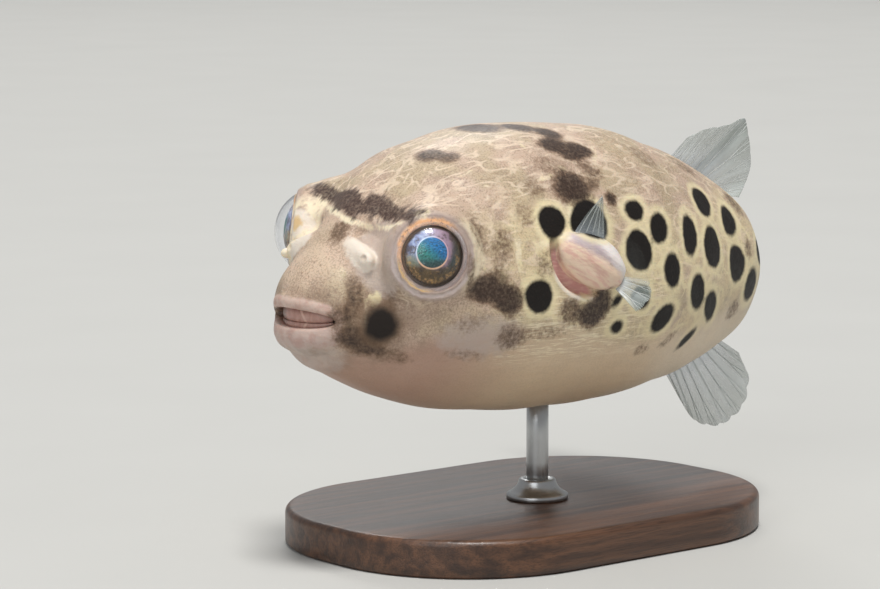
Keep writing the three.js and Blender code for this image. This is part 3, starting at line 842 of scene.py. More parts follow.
class Markings:
    """Every spot, blotch and bar of the skin, as fields round the straight body."""

    def __init__(self, seed: int = 7, crest: float = 66.0) -> None:
        """Lays the pattern on both sides, the right one shifted a little.

        Args:
            seed: Seed of the shifts.
            crest: Angle above which a mark lies across the back and is laid once.
        """
        rng = np.random.default_rng(seed)
        self.spots: list[tuple[Spot, float]] = [(spot, spot.angle) for spot in FLANK_SPOTS]
        for spot in FLANK_SPOTS:
            if spot.angle > crest:
                continue
            free = float(ease(np.float64(spot.at), 8, 14))
            shift, turn = rng.uniform(-1.3, 1.3) * free, rng.uniform(-4, 4) * free
            grow = 1 + rng.uniform(-0.15, 0.15) * free
            sizes = (spot.long * grow, spot.high * grow)
            moved = Spot(spot.tone, spot.at + shift, 0, *sizes, spot.strength, -spot.tilt)
            self.spots.append((moved, 180 - spot.angle - turn))

    @staticmethod
    def girth(p: Array) -> tuple[Array, Array]:
        """Angle round the body from the left side upwards, in degrees, and distance from its core."""
        core = np.interp(p[:, 0], [0, 12, 76], [-0.2, 1.4, 0.4])
        rise = p[:, 2] - core
        return np.arctan2(rise, p[:, 1]) / DEG, np.hypot(rise, p[:, 1])

    @staticmethod
    def brow(p: Array) -> tuple[Array, Array]:
        """Distances up the forehead from the brow bar's edge and from the pale line under it."""
        l = p[:, 1]
        rise = 0.6 * (p[:, 0] - 8.6) + 0.8 * (p[:, 2] - 10.65) + 0.2 + 0.21 * np.minimum(l - 1, 0)
        half = 1.55 - 0.1 * np.abs(l - 2.2)
        bar = np.maximum(np.abs(rise) - half, np.maximum(l - 10.2, -l - 8.2) * 0.8)
        line = np.maximum(np.abs(rise + half + 0.5), np.maximum(l - 8.6, -l - 5.0) * 0.5)
        in_front = p[:, 2] > 5
        return np.where(in_front, bar, 4.0), np.where(in_front, line, 4.0)

    def fields(self, p: Array) -> Values:
        """Values that the skin's finish reads.

        Args:
            p: Skin points in straight coordinates.

        Returns:
            `ink`, the distance from the nearest black spot's edge in millimetres, `smoke` and `pale`,
            the strengths of the soft brown and cream marks, and `brow`, the distances from the brow
            bar and from the pale line under it.
        """
        angle, radius = self.girth(p)
        ink = np.full(len(p), 4.0)
        clear = {Tone.SMOKE: np.ones(len(p)), Tone.PALE: np.ones(len(p))}
        for number, (spot, middle) in enumerate(self.spots):
            u = p[:, 0] - spot.at
            v = radius * (np.mod(angle - middle + 180, 360) - 180) * DEG
            c, s = math.cos(spot.tilt * DEG), math.sin(spot.tilt * DEG)
            u, v = (u * c + v * s) / spot.long, (v * c - u * s) / spot.high
            q = np.hypot(u, v)
            around = np.arctan2(v, u)
            uneven = 0.04 * np.sin(2 * around + number) + 0.03 * np.sin(3 * around + 2.1 * number)
            q = q * (1 + uneven)
            if spot.tone is Tone.BLACK:
                ink = np.minimum(ink, (q - 1) * min(spot.long, spot.high))
            else:
                clear[spot.tone] *= 1 - spot.strength * ease(q, 1.35, 0.4)
        bar, line = self.brow(p)
        brow = np.stack([bar, line, np.zeros(len(p))], axis=1)
        return {"ink": ink, "smoke": 1 - clear[Tone.SMOKE], "pale": 1 - clear[Tone.PALE], "brow": brow}


# ---------------------------------------------------------------- meshes and node trees


def srgb(red: int, green: int, blue: int) -> Colour:
    """A display colour, 0 to 255 in each part, as the linear colour that materials take."""
    parts = (part / 255 for part in (red, green, blue))
    return tuple(v / 12.92 if v <= 0.04045 else ((v + 0.055) / 1.055) ** 2.4 for v in parts)


def add_object(name: str, data: bpy.types.ID) -> Piece:
    """Links a new object to the scene."""
    piece = bpy.data.objects.new(name, data)
    bpy.context.scene.collection.objects.link(piece)
    return piece


def make_mesh(name: str, points: Array, faces: Faces, finish: Material, smooth: bool = True) -> Piece:
    """Makes an object with its place in its mesh.

    Args:
        name: Name of the piece.
        points: Rows of x, y and z in metres.
        faces: Corners of each face.
        finish: Its material.
        smooth: Whether the faces are shaded as one surface.

    Returns:
        The object, linked to the scene.
    """
    mesh = bpy.data.meshes.new(name)
    mesh.from_pydata(np.asarray(points).tolist(), [], [list(map(int, face)) for face in faces])
    mesh.validate()
    if smooth:
        mesh.shade_smooth()
    mesh.materials.append(finish)
    return add_object(name, mesh)


def make_flesh(name: str, points: Array, faces: Faces, finish: Material) -> Piece:
    """Makes an object from straight coordinates, whose faces turn over on the way to the frame."""
    return make_mesh(name, BACKBONE.place(points), [face[::-1] for face in faces], finish)


def set_values(piece: Piece, name: str, values: Array) -> None:
    """Stores a number or a vector on every point of a piece, under a name."""
    values = np.asarray(values, np.float32)
    kind, key = ("FLOAT", "value") if values.ndim == 1 else ("FLOAT_VECTOR", "vector")
    attribute = piece.data.attributes.new(name, kind, "POINT")
    attribute.data.foreach_set(key, values.ravel())


def set_bake_map(piece: Piece, per_point: Array, wrap: bool = False) -> None:
    """Gives a piece its bake map from a place for each point, closing the seam of a round one."""
    mesh = piece.data
    corner = np.empty(len(mesh.loops), np.int64)
    mesh.loops.foreach_get("vertex_index", corner)
    uv = np.asarray(per_point, float)[corner]
    if wrap:
        start = np.empty(len(mesh.polygons), np.int64)
        mesh.polygons.foreach_get("loop_start", start)
        first = np.repeat(uv[start, 1], np.diff(np.append(start, len(corner))))
        uv[:, 1] += np.where(uv[:, 1] - first < -0.5, 1.0, 0.0) - np.where(uv[:, 1] - first > 0.5, 1.0, 0.0)
        uv[:, 1] = 0.03 + 0.94 * (uv[:, 1] + 0.01) / 1.02
    layer = mesh.uv_layers.new(name="OFBake")
    layer.data.foreach_set("uv", np.clip(uv, 0, 1).astype(np.float32).ravel())


def sleeve(rows: int, sides: int, first: int = 0) -> list[Sequence[int]]:
    """Faces of a tube through rows of points that follow each other, from a first point on."""
    return [
        (a + j, a + (j + 1) % sides, a + sides + (j + 1) % sides, a + sides + j)
        for a in range(first, first + (rows - 1) * sides, sides)
        for j in range(sides)
    ]


def loft(rows: int, sides: int) -> list[Sequence[int]]:
    """Faces of a solid through rows of points, closed at both ends."""
    last = (rows - 1) * sides
    return [range(sides)[::-1], *sleeve(rows, sides), range(last, last + sides)]


def lathe(profile: Profile, centre: Array, axis: Array, sides: int) -> tuple[Array, Faces, Array]:
    """Turns a profile round an axis in straight coordinates; both ends lie on the axis.

    Args:
        profile: Distances from the axis and along it, from one pole to the other.
        centre: The axis's origin.
        axis: Its direction.
        sides: Corners round it.

    Returns:
        Points, faces that look outwards, and for each point its radius and the shares of it
        towards the snout and upwards.
    """
    ahead, up = orthogonal(axis)
    turn = np.arange(sides) * 2 * math.pi / sides
    ring = np.cos(turn)[:, None] * ahead + np.sin(turn)[:, None] * up
    rows = [centre + along * axis + radius * ring for radius, along in profile[1:-1]]
    poles = [(centre + profile[end][1] * axis)[None] for end in (0, -1)]
    points = np.concatenate([poles[0], *rows, poles[1]])
    shares = np.stack([np.cos(turn), np.sin(turn)], axis=1)
    dial = [np.concatenate([np.full((sides, 1), radius), shares], axis=1) for radius, _ in profile[1:-1]]
    dial = np.concatenate([np.zeros((1, 3)), *dial, np.zeros((1, 3))])
    last = len(points) - 1
    faces = [(0, 1 + (j + 1) % sides, 1 + j) for j in range(sides)]
    faces += sleeve(len(rows), sides, 1)
    faces += [(last - sides + j, last - sides + (j + 1) % sides, last) for j in range(sides)]
    if np.dot(np.cross(ahead, up), axis) < 0:
        faces = [face[::-1] for face in faces]
    return points, faces, dial


class Wire:
    """A value in a node tree; arithmetic on it adds Math nodes."""

    def __init__(self, graph: "Graph", socket: bpy.types.NodeSocket) -> None:
        """Wraps a socket."""
        self.graph = graph
        self.socket = socket

    def __add__(self, other: object) -> "Wire":
        """Sum."""
        return self.graph.math("ADD", self, other)

    def __sub__(self, other: object) -> "Wire":
        """Difference."""
        return self.graph.math("SUBTRACT", self, other)

    def __rsub__(self, other: object) -> "Wire":
        """Difference from a number."""
        return self.graph.math("SUBTRACT", other, self)

    def __mul__(self, other: object) -> "Wire":
        """Product."""
        return self.graph.math("MULTIPLY", self, other)

    def __abs__(self) -> "Wire":
        """Size without its sign."""
        return self.graph.math("ABSOLUTE", self)

    def clamp(self) -> "Wire":
        """The value held between 0 and 1."""
        return self.graph.wire("ShaderNodeClamp", Value=self)

    def ease(self, low: float, high: float, to: float = 1.0) -> "Wire":
        """Rises smoothly from 0 at low to a height at high; low may be above high."""
        start, end = (0.0, to) if low < high else (to, 0.0)
        ends = {"From_Min": min(low, high), "From_Max": max(low, high), "To_Min": start, "To_Max": end}
        smooth = {"interpolation_type": "SMOOTHSTEP"}
        return self.graph.wire("ShaderNodeMapRange", "Result", smooth, Value=self, **ends)

    def mix(self, factor: object, colour: object) -> "Wire":
        """This colour with another laid over it."""
        return self.graph.mix(factor, self, colour)

    def noise(
        self, scale: object, detail: float = 2, roughness: float = 0.5, distortion: object = 0
    ) -> "Wire":
        """Value of a noise texture at this place."""
        looks = {"Scale": scale, "Detail": detail, "Roughness": roughness, "Distortion": distortion}
        return self.graph.wire("ShaderNodeTexNoise", "Fac", Vector=self, **looks)

    def parts(self) -> list["Wire"]:
        """The three parts of a vector."""
        node = self.graph.node("ShaderNodeSeparateXYZ", Vector=self)
        return [Wire(self.graph, socket) for socket in node.outputs]

    def scaled(self, *scale: float) -> "Wire":
        """A vector stretched along its axes."""
        return self.graph.wire("ShaderNodeMapping", Vector=self, Scale=scale)


class Graph:
    """A node tree with short ways to add and join its nodes."""

    def __init__(self, tree: bpy.types.NodeTree) -> None:
        """Wraps a tree."""
        self.tree = tree

    def node(self, kind: str, settings: dict | None = None, **inputs: object) -> bpy.types.Node:
        """Adds a node.

        Args:
            kind: Its type, such as ShaderNodeBump.
            settings: Attributes to set on it.
            inputs: Values or wires for its inputs, by name, with _ for a space.

        Returns:
            The node.
        """
        node = self.tree.nodes.new(kind)
        for key, value in (settings or {}).items():
            setattr(node, key, value)
        for key, value in inputs.items():
            self.feed(node.inputs[key.replace("_", " ")], value)
        return node

    def wire(self, kind: str, output: int | str = 0, settings: dict | None = None, **inputs: object) -> Wire:
        """Adds a node and gives one of its outputs."""
        return Wire(self, self.node(kind, settings, **inputs).outputs[output])

    def feed(self, socket: bpy.types.NodeSocket, value: object) -> None:
        """Links a wire to a socket or sets the socket's value."""
        if isinstance(value, Wire):
            self.tree.links.new(value.socket, socket)
        elif isinstance(value, tuple) and socket.type == "RGBA":
            socket.default_value = (*value[:3], 1.0)
        else:
            socket.default_value = value

    def chain(self, kind: str, settings: dict, *values: object) -> Wire:
        """Adds a node whose first inputs take values in order, and gives its first output."""
        node = self.node(kind, settings)
        for socket, value in zip(node.inputs, values):
            self.feed(socket, value)
        return Wire(self, node.outputs[0])

    def math(self, operation: str, *values: object) -> Wire:
        """Adds a Math node and gives its result."""
        return self.chain("ShaderNodeMath", {"operation": operation}, *values)

    def mix(self, factor: object, a: object, b: object) -> Wire:
        """Mixes two colours."""
        node = self.node("ShaderNodeMix", {"data_type": "RGBA"})
        for index, value in ((0, factor), (6, a), (7, b)):
            self.feed(node.inputs[index], value)
        return Wire(self, node.outputs[2])

    def value_at(self, name: str) -> Wire:
        """A number stored on the piece's points."""
        return self.wire("ShaderNodeAttribute", "Fac", {"attribute_name": name})

    def vector_at(self, name: str) -> Wire:
        """A vector stored on the piece's points."""
        return self.wire("ShaderNodeAttribute", "Vector", {"attribute_name": name})

    def millimetres(self) -> Wire:
        """The place on the piece, in millimetres."""
        return self.wire("ShaderNodeTexCoord", "Object").scaled(1000.0, 1000.0, 1000.0)


class Finish(Graph):
    """A material with one shader, whose constants are set on the shader's own sockets."""

    def __init__(self, name: str, **values: object) -> None:
        """Starts the material with values for its shader."""
        self.material = bpy.data.materials.new(name)
        self.material.use_nodes = True
        super().__init__(self.material.node_tree)
        self.shader = self.tree.nodes["Principled BSDF"]
        self.colour: Wire | None = None
        self.shade(**values)

    def lay(self, mask: object, tint: object) -> None:
        """Lays a colour over the finish's colour so far, where the mask is near 1."""
        self.colour = self.mix(mask, self.colour, tint)

    def shade(self, **values: object) -> None:
        """Sets or links the shader's inputs, by name, with _ for a space."""
        for key, value in values.items():
            self.feed(self.shader.inputs[key.replace("_", " ")], value)

    def bump(self, height: Wire, distance: float, strength: float = 1.0) -> None:
        """Joins a height to the normal; distance is what a height of 1 stands for, in metres."""
        self.shade(Normal=self.wire("ShaderNodeBump", Height=height, Distance=distance, Strength=strength))


class Effect(Graph):
    """A surface effect as a node group with one result, for finishes to share."""

    def __init__(self, name: str, result: str, **inputs: float | None) -> None:
        """Starts the group.

        Args:
            name: Name of the group.
            result: Name of its output.
            inputs: Default of each input, by name, with _ for a space; None makes a vector.
        """
        super().__init__(bpy.data.node_groups.new(name, "ShaderNodeTree"))
        face = self.tree.interface
        for key, default in inputs.items():
            kind = "NodeSocketVector" if default is None else "NodeSocketFloat"
            socket = face.new_socket(key.replace("_", " "), in_out="INPUT", socket_type=kind)
            if default is not None:
                socket.default_value = default
        face.new_socket(result, in_out="OUTPUT", socket_type="NodeSocketFloat")
        sockets = self.tree.nodes.new("NodeGroupInput").outputs
        self.given = [Wire(self, socket) for socket in sockets if socket.name]

    def finish(self, result: Wire) -> None:
        """Joins the result to the group's output."""
        self.feed(self.tree.nodes.new("NodeGroupOutput").inputs[0], result)

    def use(self, graph: Graph, **inputs: object) -> Wire:
        """Places the group in a material and gives its result."""
        return graph.wire("ShaderNodeGroup", 0, {"node_tree": self.tree}, **inputs)


def pigment_grains() -> Effect:
    """Grains of pigment: near 1 on a grain; Density is the share that is covered."""
    group = Effect("pigment grains", "Mask", Vector=None, Grains_per_mm=5.0, Density=0.3)
    place, grains, density = group.given
    fine = place.noise(grains, 3, 0.7)
    level = place.noise(0.35, 2) * -0.16 + (density * -0.34 + 0.72)
    group.finish(((fine - level) * 11.0 + 0.5).clamp())
    return group


def pale_network() -> Effect:
    """Wavering pale lines round cells of a given size, broken here and there."""
    group = Effect("pale network", "Mask", Vector=None, Cell_mm=3.2, Width_mm=0.3, Waver_mm=0.9, Broken=0.5)
    place, cell, width, waver, broken = group.given
    drift = group.wire("ShaderNodeTexNoise", "Color", Vector=place, Scale=0.5, Detail=1.2)
    swing = group.chain("ShaderNodeVectorMath", {"operation": "SUBTRACT"}, drift, (0.5, 0.5, 0.5))
    push = group.wire("ShaderNodeVectorMath", 0, {"operation": "SCALE"}, Vector=swing, Scale=waver * 4.0)
    moved = group.chain("ShaderNodeVectorMath", {"operation": "ADD"}, place, push)
    edges = {"feature": "DISTANCE_TO_EDGE"}
    size = group.math("DIVIDE", 1.0, cell)
    away = group.wire("ShaderNodeTexVoronoi", "Distance", edges, Vector=moved, Scale=size)
    line = group.math("DIVIDE", away * cell, width).ease(1.0, 0.25)
    gone = ((broken - place.noise(0.45, 2)) * 6.0 + 0.5).clamp()
    group.finish(line * (1.0 - gone))
    return group


def skin_relief() -> Effect:
    """Height of soft fine skin, in millimetres: pits, pimples and faint wrinkles along the body."""
    group = Effect("skin relief", "Height", Vector=None, Wrinkles=0.3)
    place, wrinkles = group.given
    pimple = group.wire("ShaderNodeTexVoronoi", "Distance", Vector=place, Scale=2.6).ease(0.55, 0.0)
    folded = place.scaled(0.22, 0.7, 2.4).noise(1.0, 3, 0.55, 0.6)
    group.finish(pimple * 0.022 + place.noise(5.0, 3, 0.6) * 0.03 + folded * wrinkles * 0.25)
    return group


@dataclass
class SkinEffects:
    """The effects that the skin's layers share."""

    grains: Effect = field(default_factory=pigment_grains)
    network: Effect = field(default_factory=pale_network)
    relief: Effect = field(default_factory=skin_relief)


# ---------------------------------------------------------------- the skin


@dataclass(frozen=True)
class SkinFinish:
    """Colours of the skin, from the ground to the small bare places."""

    back: Colour = srgb(196, 172, 152)
    back_olive: Colour = srgb(188, 169, 142)
    belly: Colour = srgb(216, 192, 162)
    belly_rear: Colour = srgb(222, 204, 178)
    jaw: Colour = srgb(180, 148, 130)
    grains: Colour = srgb(112, 90, 76)
    flank: Colour = srgb(222, 202, 164)
    cream: Colour = srgb(242, 228, 198)
    line: Colour = srgb(236, 216, 192)
    snout: Colour = srgb(216, 192, 170)
    rear: Colour = srgb(128, 112, 88)
    yellow: Colour = srgb(236, 222, 180)
    smoke: Colour = srgb(52, 37, 30)
    haze: Colour = srgb(118, 92, 70)
    ink: Colour = srgb(18, 12, 8)
    bar: Colour = srgb(70, 53, 47)
    face: Colour = srgb(150, 126, 108)
    pallor: Colour = srgb(186, 170, 161)
    upper_lip: Colour = srgb(206, 182, 170)
    lower_lip: Colour = srgb(190, 168, 160)
    lining: Colour = srgb(172, 132, 120)
    # Painted shade deep inside the mouth.
    throat_shade: Colour = srgb(120, 82, 72)
    gill: Colour = srgb(204, 152, 146)
    gill_edge: Colour = srgb(232, 220, 204)
    # Painted shadow just inside the gill cover's rim.
    slit_shadow: Colour = srgb(52, 36, 30)
    lobe: Colour = srgb(234, 208, 184)
    lobe_pink: Colour = srgb(218, 172, 158)
    lobe_lilac: Colour = srgb(184, 172, 180)
    # Partly pale flesh, partly painted highlight along the lobe's hind edge.
    lobe_white: Colour = srgb(240, 232, 228)
    flap: Colour = srgb(232, 220, 206)
    cup: Colour = srgb(206, 190, 174)
    ring: Colour = srgb(168, 150, 142)
    # Dark brown of the rings' inner margin, also used as painted shade in their creases.
    ring_fold: Colour = srgb(112, 90, 82)
    ring_orange: Colour = srgb(206, 156, 112)
    ring_pale: Colour = srgb(206, 192, 188)
    ring_gold: Colour = srgb(214, 176, 112)

    def ground(self, graph: Finish, effects: SkinEffects, place: Wire) -> None:
        """Beige back, duller belly, yellowish flanks, with grains, wrinkles and pale lines."""
        s, across, z = place.parts()
        wave = graph.math("COSINE", s * 0.1428 - 2.713)
        level = (place.noise(0.3, 3) - 0.5) * 3.0 + (z - (wave * 1.6 - 3.2))
        upper = level.ease(-1.2, 1.6)
        low = graph.mix(s.ease(10.0, 24.0), self.jaw, self.belly)
        low = low.mix(s.ease(34.0, 48.0), self.belly_rear)
        tint = place.noise(0.16, 2).ease(0.42, 0.6)
        graph.colour = low.mix(upper, graph.mix(tint, self.back, self.back_olive))
        front = s.ease(13.0, 7.0) * level.ease(-3.0, 0.5) * z.ease(5.5, 2.5)
        cloudy = place.noise(0.42, 3, 0.6).ease(0.36, 0.6)
        graph.lay(front * cloudy * 0.72, self.face)
        snout = s.ease(8.0, 4.0) * z.ease(1.5, 4.0) * abs(across).ease(5.2, 2.2) * 0.6
        graph.lay(snout, self.snout)
        graph.lay(s.ease(50.0, 64.0) * level.ease(4.5, -4.0) * 0.3, self.rear)
        side = s.ease(13.0, 22.0) * level.ease(15.0, 8.5) * level.ease(-1.0, 1.8)
        patches = place.noise(0.55, 3).ease(0.3, 0.56)
        graph.lay(side * patches * 0.88, self.flank)
        density = place.noise(0.5, 2) * 0.9 - 0.1
        grains = effects.grains.use(graph, Vector=place, Grains_per_mm=5.0, Density=density)
        most = side * -0.16 + (upper * 0.3 + 0.1)
        graph.lay(grains * most, self.grains)
        dots = place.noise(2.3, 2, 0.55).ease(0.63, 0.72, 0.5)
        graph.lay(dots * upper * s.ease(34.0, 16.0), self.grains)
        self.lines(graph, effects, place, level, side)

    def lines(self, graph: Finish, effects: SkinEffects, place: Wire, level: Wire, side: Wire) -> None:
        """Lays the pale net over the head and flanks, and the fine wrinkles over the lower flank."""
        s, _, z = place.parts()
        head = level.ease(2.0, 6.5) * s.ease(5.0, 8.5)
        long = place.scaled(0.5, 1.0, 1.0)
        lines = effects.network.use(graph, Vector=long, Cell_mm=2.5, Width_mm=0.22, Waver_mm=0.9, Broken=0.5)
        rolling = abs(place.scaled(0.36, 0.9, 1.1).noise(0.7, 1, 0.35) - 0.5)
        ripples = rolling.ease(0.06, 0.01) * place.noise(0.5, 2).ease(0.4, 0.54)
        lines = graph.math("MAXIMUM", lines * 0.5, ripples * 0.55)
        graph.lay(lines * head, self.line)
        net = effects.network.use(graph, Vector=place, Cell_mm=2.4, Width_mm=0.3, Waver_mm=0.8, Broken=0.46)
        graph.lay(net * side * 0.55, self.yellow)
        folded = place.scaled(0.14, 0.5, 2.4).noise(1.3, 3, 0.55)
        crest = abs(folded - 0.52).ease(0.045, 0.0)
        zone = s.ease(15.0, 20.0) * s.ease(44.0, 36.0) * z.ease(-6.5, -4.0)
        graph.lay(crest * zone * z.ease(4.0, 1.0) * 0.85, self.cream)

    def marks(self, graph: Finish, place: Wire) -> Wire:
        """Lays halos, soft marks, the brow bar and the black spots over the ground.

        Returns:
            The mask of what is black.
        """
        s, _, z = place.parts()
        edge = place.noise(1.3, 3, 0.6) - 0.5
        ink = edge * 0.38 + graph.value_at("ink")
        drift = (place.noise(0.8, 3) * 0.9 + 0.45).clamp()
        halo = ink.ease(1.1, 0.4) * s.ease(12.0, 20.0) * z.ease(-7.0, -3.0) * drift
        graph.lay(halo * 0.72, self.yellow)
        rough = place.noise(2.1, 4, 0.65) - 0.5
        pale = rough * 1.5 + graph.value_at("pale")
        cream = graph.mix(place.noise(0.5, 2).ease(0.4, 0.6), self.cream, self.yellow)
        graph.lay(pale.ease(0.35, 1.0) * 0.7, cream)
        soft = rough + graph.value_at("smoke")
        fine = place.noise(3.2, 3, 0.6).ease(0.66, 0.38, 0.2)
        clear = graph.value_at("smoke").ease(0.0, 0.25)
        graph.lay(soft.ease(0.05, 0.6) * clear * (fine + 0.62), self.haze)
        graph.lay(soft.ease(0.3, 0.95) * clear * (fine + 0.78), self.smoke)
        bar, line, _ = graph.vector_at("brow").parts()
        streaks = place.scaled(0.45, 1.7, 0.45).noise(1.3, 4, 0.7) - 0.5
        swing = place.noise(0.42, 2) - 0.5
        moved = swing * 3.4 + streaks * 2.9
        graph.lay((moved * 0.35 + line).ease(0.55, 0.1) * 0.85, self.cream)
        graph.lay((moved + bar).ease(0.6, -0.5) * (fine + 0.8), self.bar)
        sharp, blurred = ink.ease(0.3, -0.2), ink.ease(0.5, -0.5)
        front = s.ease(11.0, 9.0)
        black = sharp + front * (blurred - sharp)
        graph.lay(ink.ease(1.0, -0.1) * front * 0.75, self.haze)
        specks = place.noise(5.0, 2).ease(0.5, 0.8, 0.3)
        specks = graph.math("MAXIMUM", specks, front * 0.22)
        graph.lay(black, graph.mix(specks, self.ink, self.smoke))
        return black

    def rings(self, graph: Finish, place: Wire) -> None:
        """Colours the loose rings of skin round the eyes, with painted shade in their creases."""
        radius, ahead, up = graph.vector_at("dial").parts()
        near = graph.value_at("level").ease(-0.6, 0.6)
        drift = (place.noise(1.5, 3) - 0.5) * 0.6 + radius
        graph.lay(drift.ease(4.9, 4.2) * near * 0.85, self.ring)
        # Dark bands across the rings: painted shade in the creases of the loose skin.
        fold_shade = graph.math("SINE", drift * 9.5).ease(0.2, 1.0) * radius.ease(4.6, 3.5)
        graph.lay(fold_shade * near * 0.35, self.ring_fold)
        graph.lay(radius.ease(3.75, 3.35) * near * 0.85, self.ring_fold)
        bright = (up * 1.1 + ahead).ease(-0.1, 0.7)
        wide = up.ease(-0.2, 0.8) * -0.45 + drift
        grain = place.noise(3.2, 3, 0.65).ease(0.28, 0.5)
        orange = wide.ease(3.62, 3.2) * graph.value_at("level").ease(0.2, 0.9) * bright
        graph.lay(orange, graph.mix(grain, self.ring_fold, self.ring_orange))
        far = place.parts()[1].ease(-4.0, -5.0) * ahead.ease(0.5, 0.8)
        bright = radius.ease(7.2, 6.2) * place.noise(0.9, 3).ease(0.3, 0.52)
        graph.lay(far * bright * 0.85, self.cream)
        height = (up - 0.25) * 4.2
        off = (drift - 4.55) * 1.7
        off = off * off + height * height
        graph.lay(far * off.ease(2.2, 1.2) * 0.9, self.flap)
        graph.lay(far * off.ease(0.9, 0.2) * 0.75, self.ring_gold)
        rim = abs(drift - 4.1).ease(0.26, 0.06) * up.ease(0.5, -0.2)
        graph.lay(rim * near * 0.6, self.ring_pale)
        band = drift.ease(4.1, 4.5) * drift.ease(5.6, 5.0) * ahead.ease(-0.55, -0.9)
        graph.lay(band * near * 0.6, self.cream)
        arc = abs(drift - 3.55).ease(0.22, 0.05) * ahead.ease(-0.2, 0.4) * up.ease(0.1, -0.4)
        graph.lay(arc * near * 0.75, self.ring_gold)

    def pad(self, graph: Graph) -> Wire:
        """Colour of a fin's fleshy lobe: lilac at its upper end, pink streaks, and a white hind edge that is
        partly pale flesh and partly painted highlight.
        """
        place = graph.vector_at("pad")
        along, across, _ = place.parts()
        streaks = place.scaled(0.35, 1.9, 1.0).noise(1.2, 3, 0.6)
        colour = graph.mix(streaks.ease(0.42, 0.66, 0.8), self.lobe, self.lobe_pink)
        crest = (streaks - 0.5) * 1.4 + across
        colour = colour.mix(crest.ease(-0.2, 0.9, 0.85), self.lobe_lilac)
        # White along the upper hind edge: partly the lobe's pale flesh, partly painted highlight.
        edge = (streaks - 0.5) * 1.6 + (along * 0.35 + across)
        return colour.mix(edge.ease(0.6, 1.9, 0.95), self.lobe_white)

    def bare(self, graph: Finish, place: Wire) -> None:
        """Colours the lips, the mouth, the gill openings, the fin lobes and the nostril flaps."""
        drift = place.noise(1.1, 3) - 0.5
        layers = (
            ("pallor", self.pallor, 0.72),
            ("upper_lip", self.upper_lip, 0.85),
            ("lower_lip", self.lower_lip, 0.8),
        )
        for name, tint, most in layers:
            share = graph.value_at(name)
            mask = (drift * 0.95 + share) * share.ease(0.0, 0.2)
            graph.lay(mask.ease(0.2, 0.9, most), tint)
        lips = graph.math("MAXIMUM", graph.value_at("upper_lip"), graph.value_at("lower_lip"))
        flushed = place.noise(0.9, 3, 0.6).ease(0.42, 0.62, 0.45) * lips
        graph.lay(flushed, self.lining)
        depth = graph.value_at("lining")
        # The lining darkens with depth into the mouth: painted shade of the recess.
        inside = graph.mix(depth.ease(0.75, 1.0), self.lining, self.throat_shade)
        graph.lay(depth.ease(0.05, 0.5), inside)
        streaks = place.scaled(0.5, 1.0, 2.0).noise(1.8, 3)
        pink = graph.mix(streaks.ease(0.45, 0.75, 0.4), self.gill, self.lobe)
        graph.lay(graph.value_at("gill").ease(0.2, 0.8), pink)
        graph.lay(graph.value_at("lobe").ease(0.2, 0.8), self.pad(graph))
        graph.lay(graph.value_at("gill_edge").ease(0.3, 0.8, 0.9), self.gill_edge)
        # Lays the painted shadow just inside the gill cover's rim.
        graph.lay(graph.value_at("slit_shadow").ease(0.2, 0.7), self.slit_shadow)
        flap = graph.value_at("flap")
        graph.lay((drift * 1.3 + flap).ease(0.1, 0.95) * flap.ease(0.0, 0.3) * 0.95, self.flap)
        graph.lay(graph.value_at("cup").ease(0.1, 0.9, 0.75), self.cup)

    def build(self) -> Material:
        """The skin's material."""
        effects = SkinEffects()
        graph = Finish(
            "spotted skin",
            Subsurface_Weight=0.14,
            Subsurface_Radius=(1.0, 0.55, 0.35),
            Subsurface_Scale=0.0009,
            Coat_Roughness=0.3,
            Specular_IOR_Level=0.32,
        )
        place = graph.vector_at("straight")
        self.ground(graph, effects, place)
        self.bare(graph, place)
        self.rings(graph, place)
        black = self.marks(graph, place)
        rough = place.noise(1.3, 3) * 0.24 + 0.38
        thin = black * -0.1 + 0.1
        graph.shade(Base_Color=graph.colour, Roughness=black * 0.08 + rough, Coat_Weight=thin)
        graph.bump(effects.relief.use(graph, Vector=place, Wrinkles=0.4), MM, 0.6)
        return graph.material


@dataclass
class Skin:
    """The one skin of head, trunk, tail stalk and fin lobes."""

    finish: SkinFinish = SkinFinish()
    nodes: tuple[str, ...] = ("head", "trunk", "tail_stalk", "pectoral_lobe_left", "pectoral_lobe_right")

    def masks(self, p: Array) -> Values:
        """Every value that the finish reads from the points."""
        along, radius, ahead, up = EYES.polar(p)
        upper, lower = MOUTH.lip_colour(p)
        side = folded(p)
        cheek = ease(ellipsoid(side, (7.4, 6.4, 5.6), (2.4, 3.2, 3.6)), 1.6, -0.4)
        gill_cover = ease(ellipsoid(side, (15.0, 12.8, -2.4), (5.0, 3.2, 2.2)), 1.6, -1.0)
        chin = ease(ellipsoid(side, (2.4, 0.0, -4.0), (3.6, 5.0, 2.6)), 2.2, -1.4)
        masks = {
            "upper_lip": upper,
            "lower_lip": lower,
            "lining": MOUTH.lining(p),
            "pallor": np.maximum(np.maximum(cheek, 0.8 * gill_cover), 0.8 * chin),
            "flap": NOSTRILS.mask(p),
            "cup": NOSTRILS.cup_mask(p),
            "dial": np.stack([radius, ahead, up], axis=1),
            "level": along,
            "straight": p,
            "pad": np.stack(LOBE.local(p), axis=1),
        }
        return {**masks, **LOBE.masks(p), **Markings().fields(p)}

    @staticmethod
    def bake_places(p: Array) -> Array:
        """Places on the bake map: along the body, with room for the face, and round it."""
        angle, _ = Markings.girth(p)
        face = 1 - np.exp(-p[:, 0] / 2.2)
        along = 0.02 + 0.14 * face + 0.83 * p[:, 0] / SECTIONS[-1].at
        return np.stack([along, np.mod(angle + 90, 360) / 360], axis=1)

    def build(self) -> Piece:
        """Makes and dresses the skin."""
        points, faces = SkinMesher(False).build()
        piece = make_flesh("skin", points, faces, self.finish.build())
        for name, values in self.masks(points).items():
            set_values(piece, name, values)
        set_bake_map(piece, self.bake_places(points), wrap=True)
        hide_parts(*self.nodes)
        return piece


# ---------------------------------------------------------------- eyes and beak


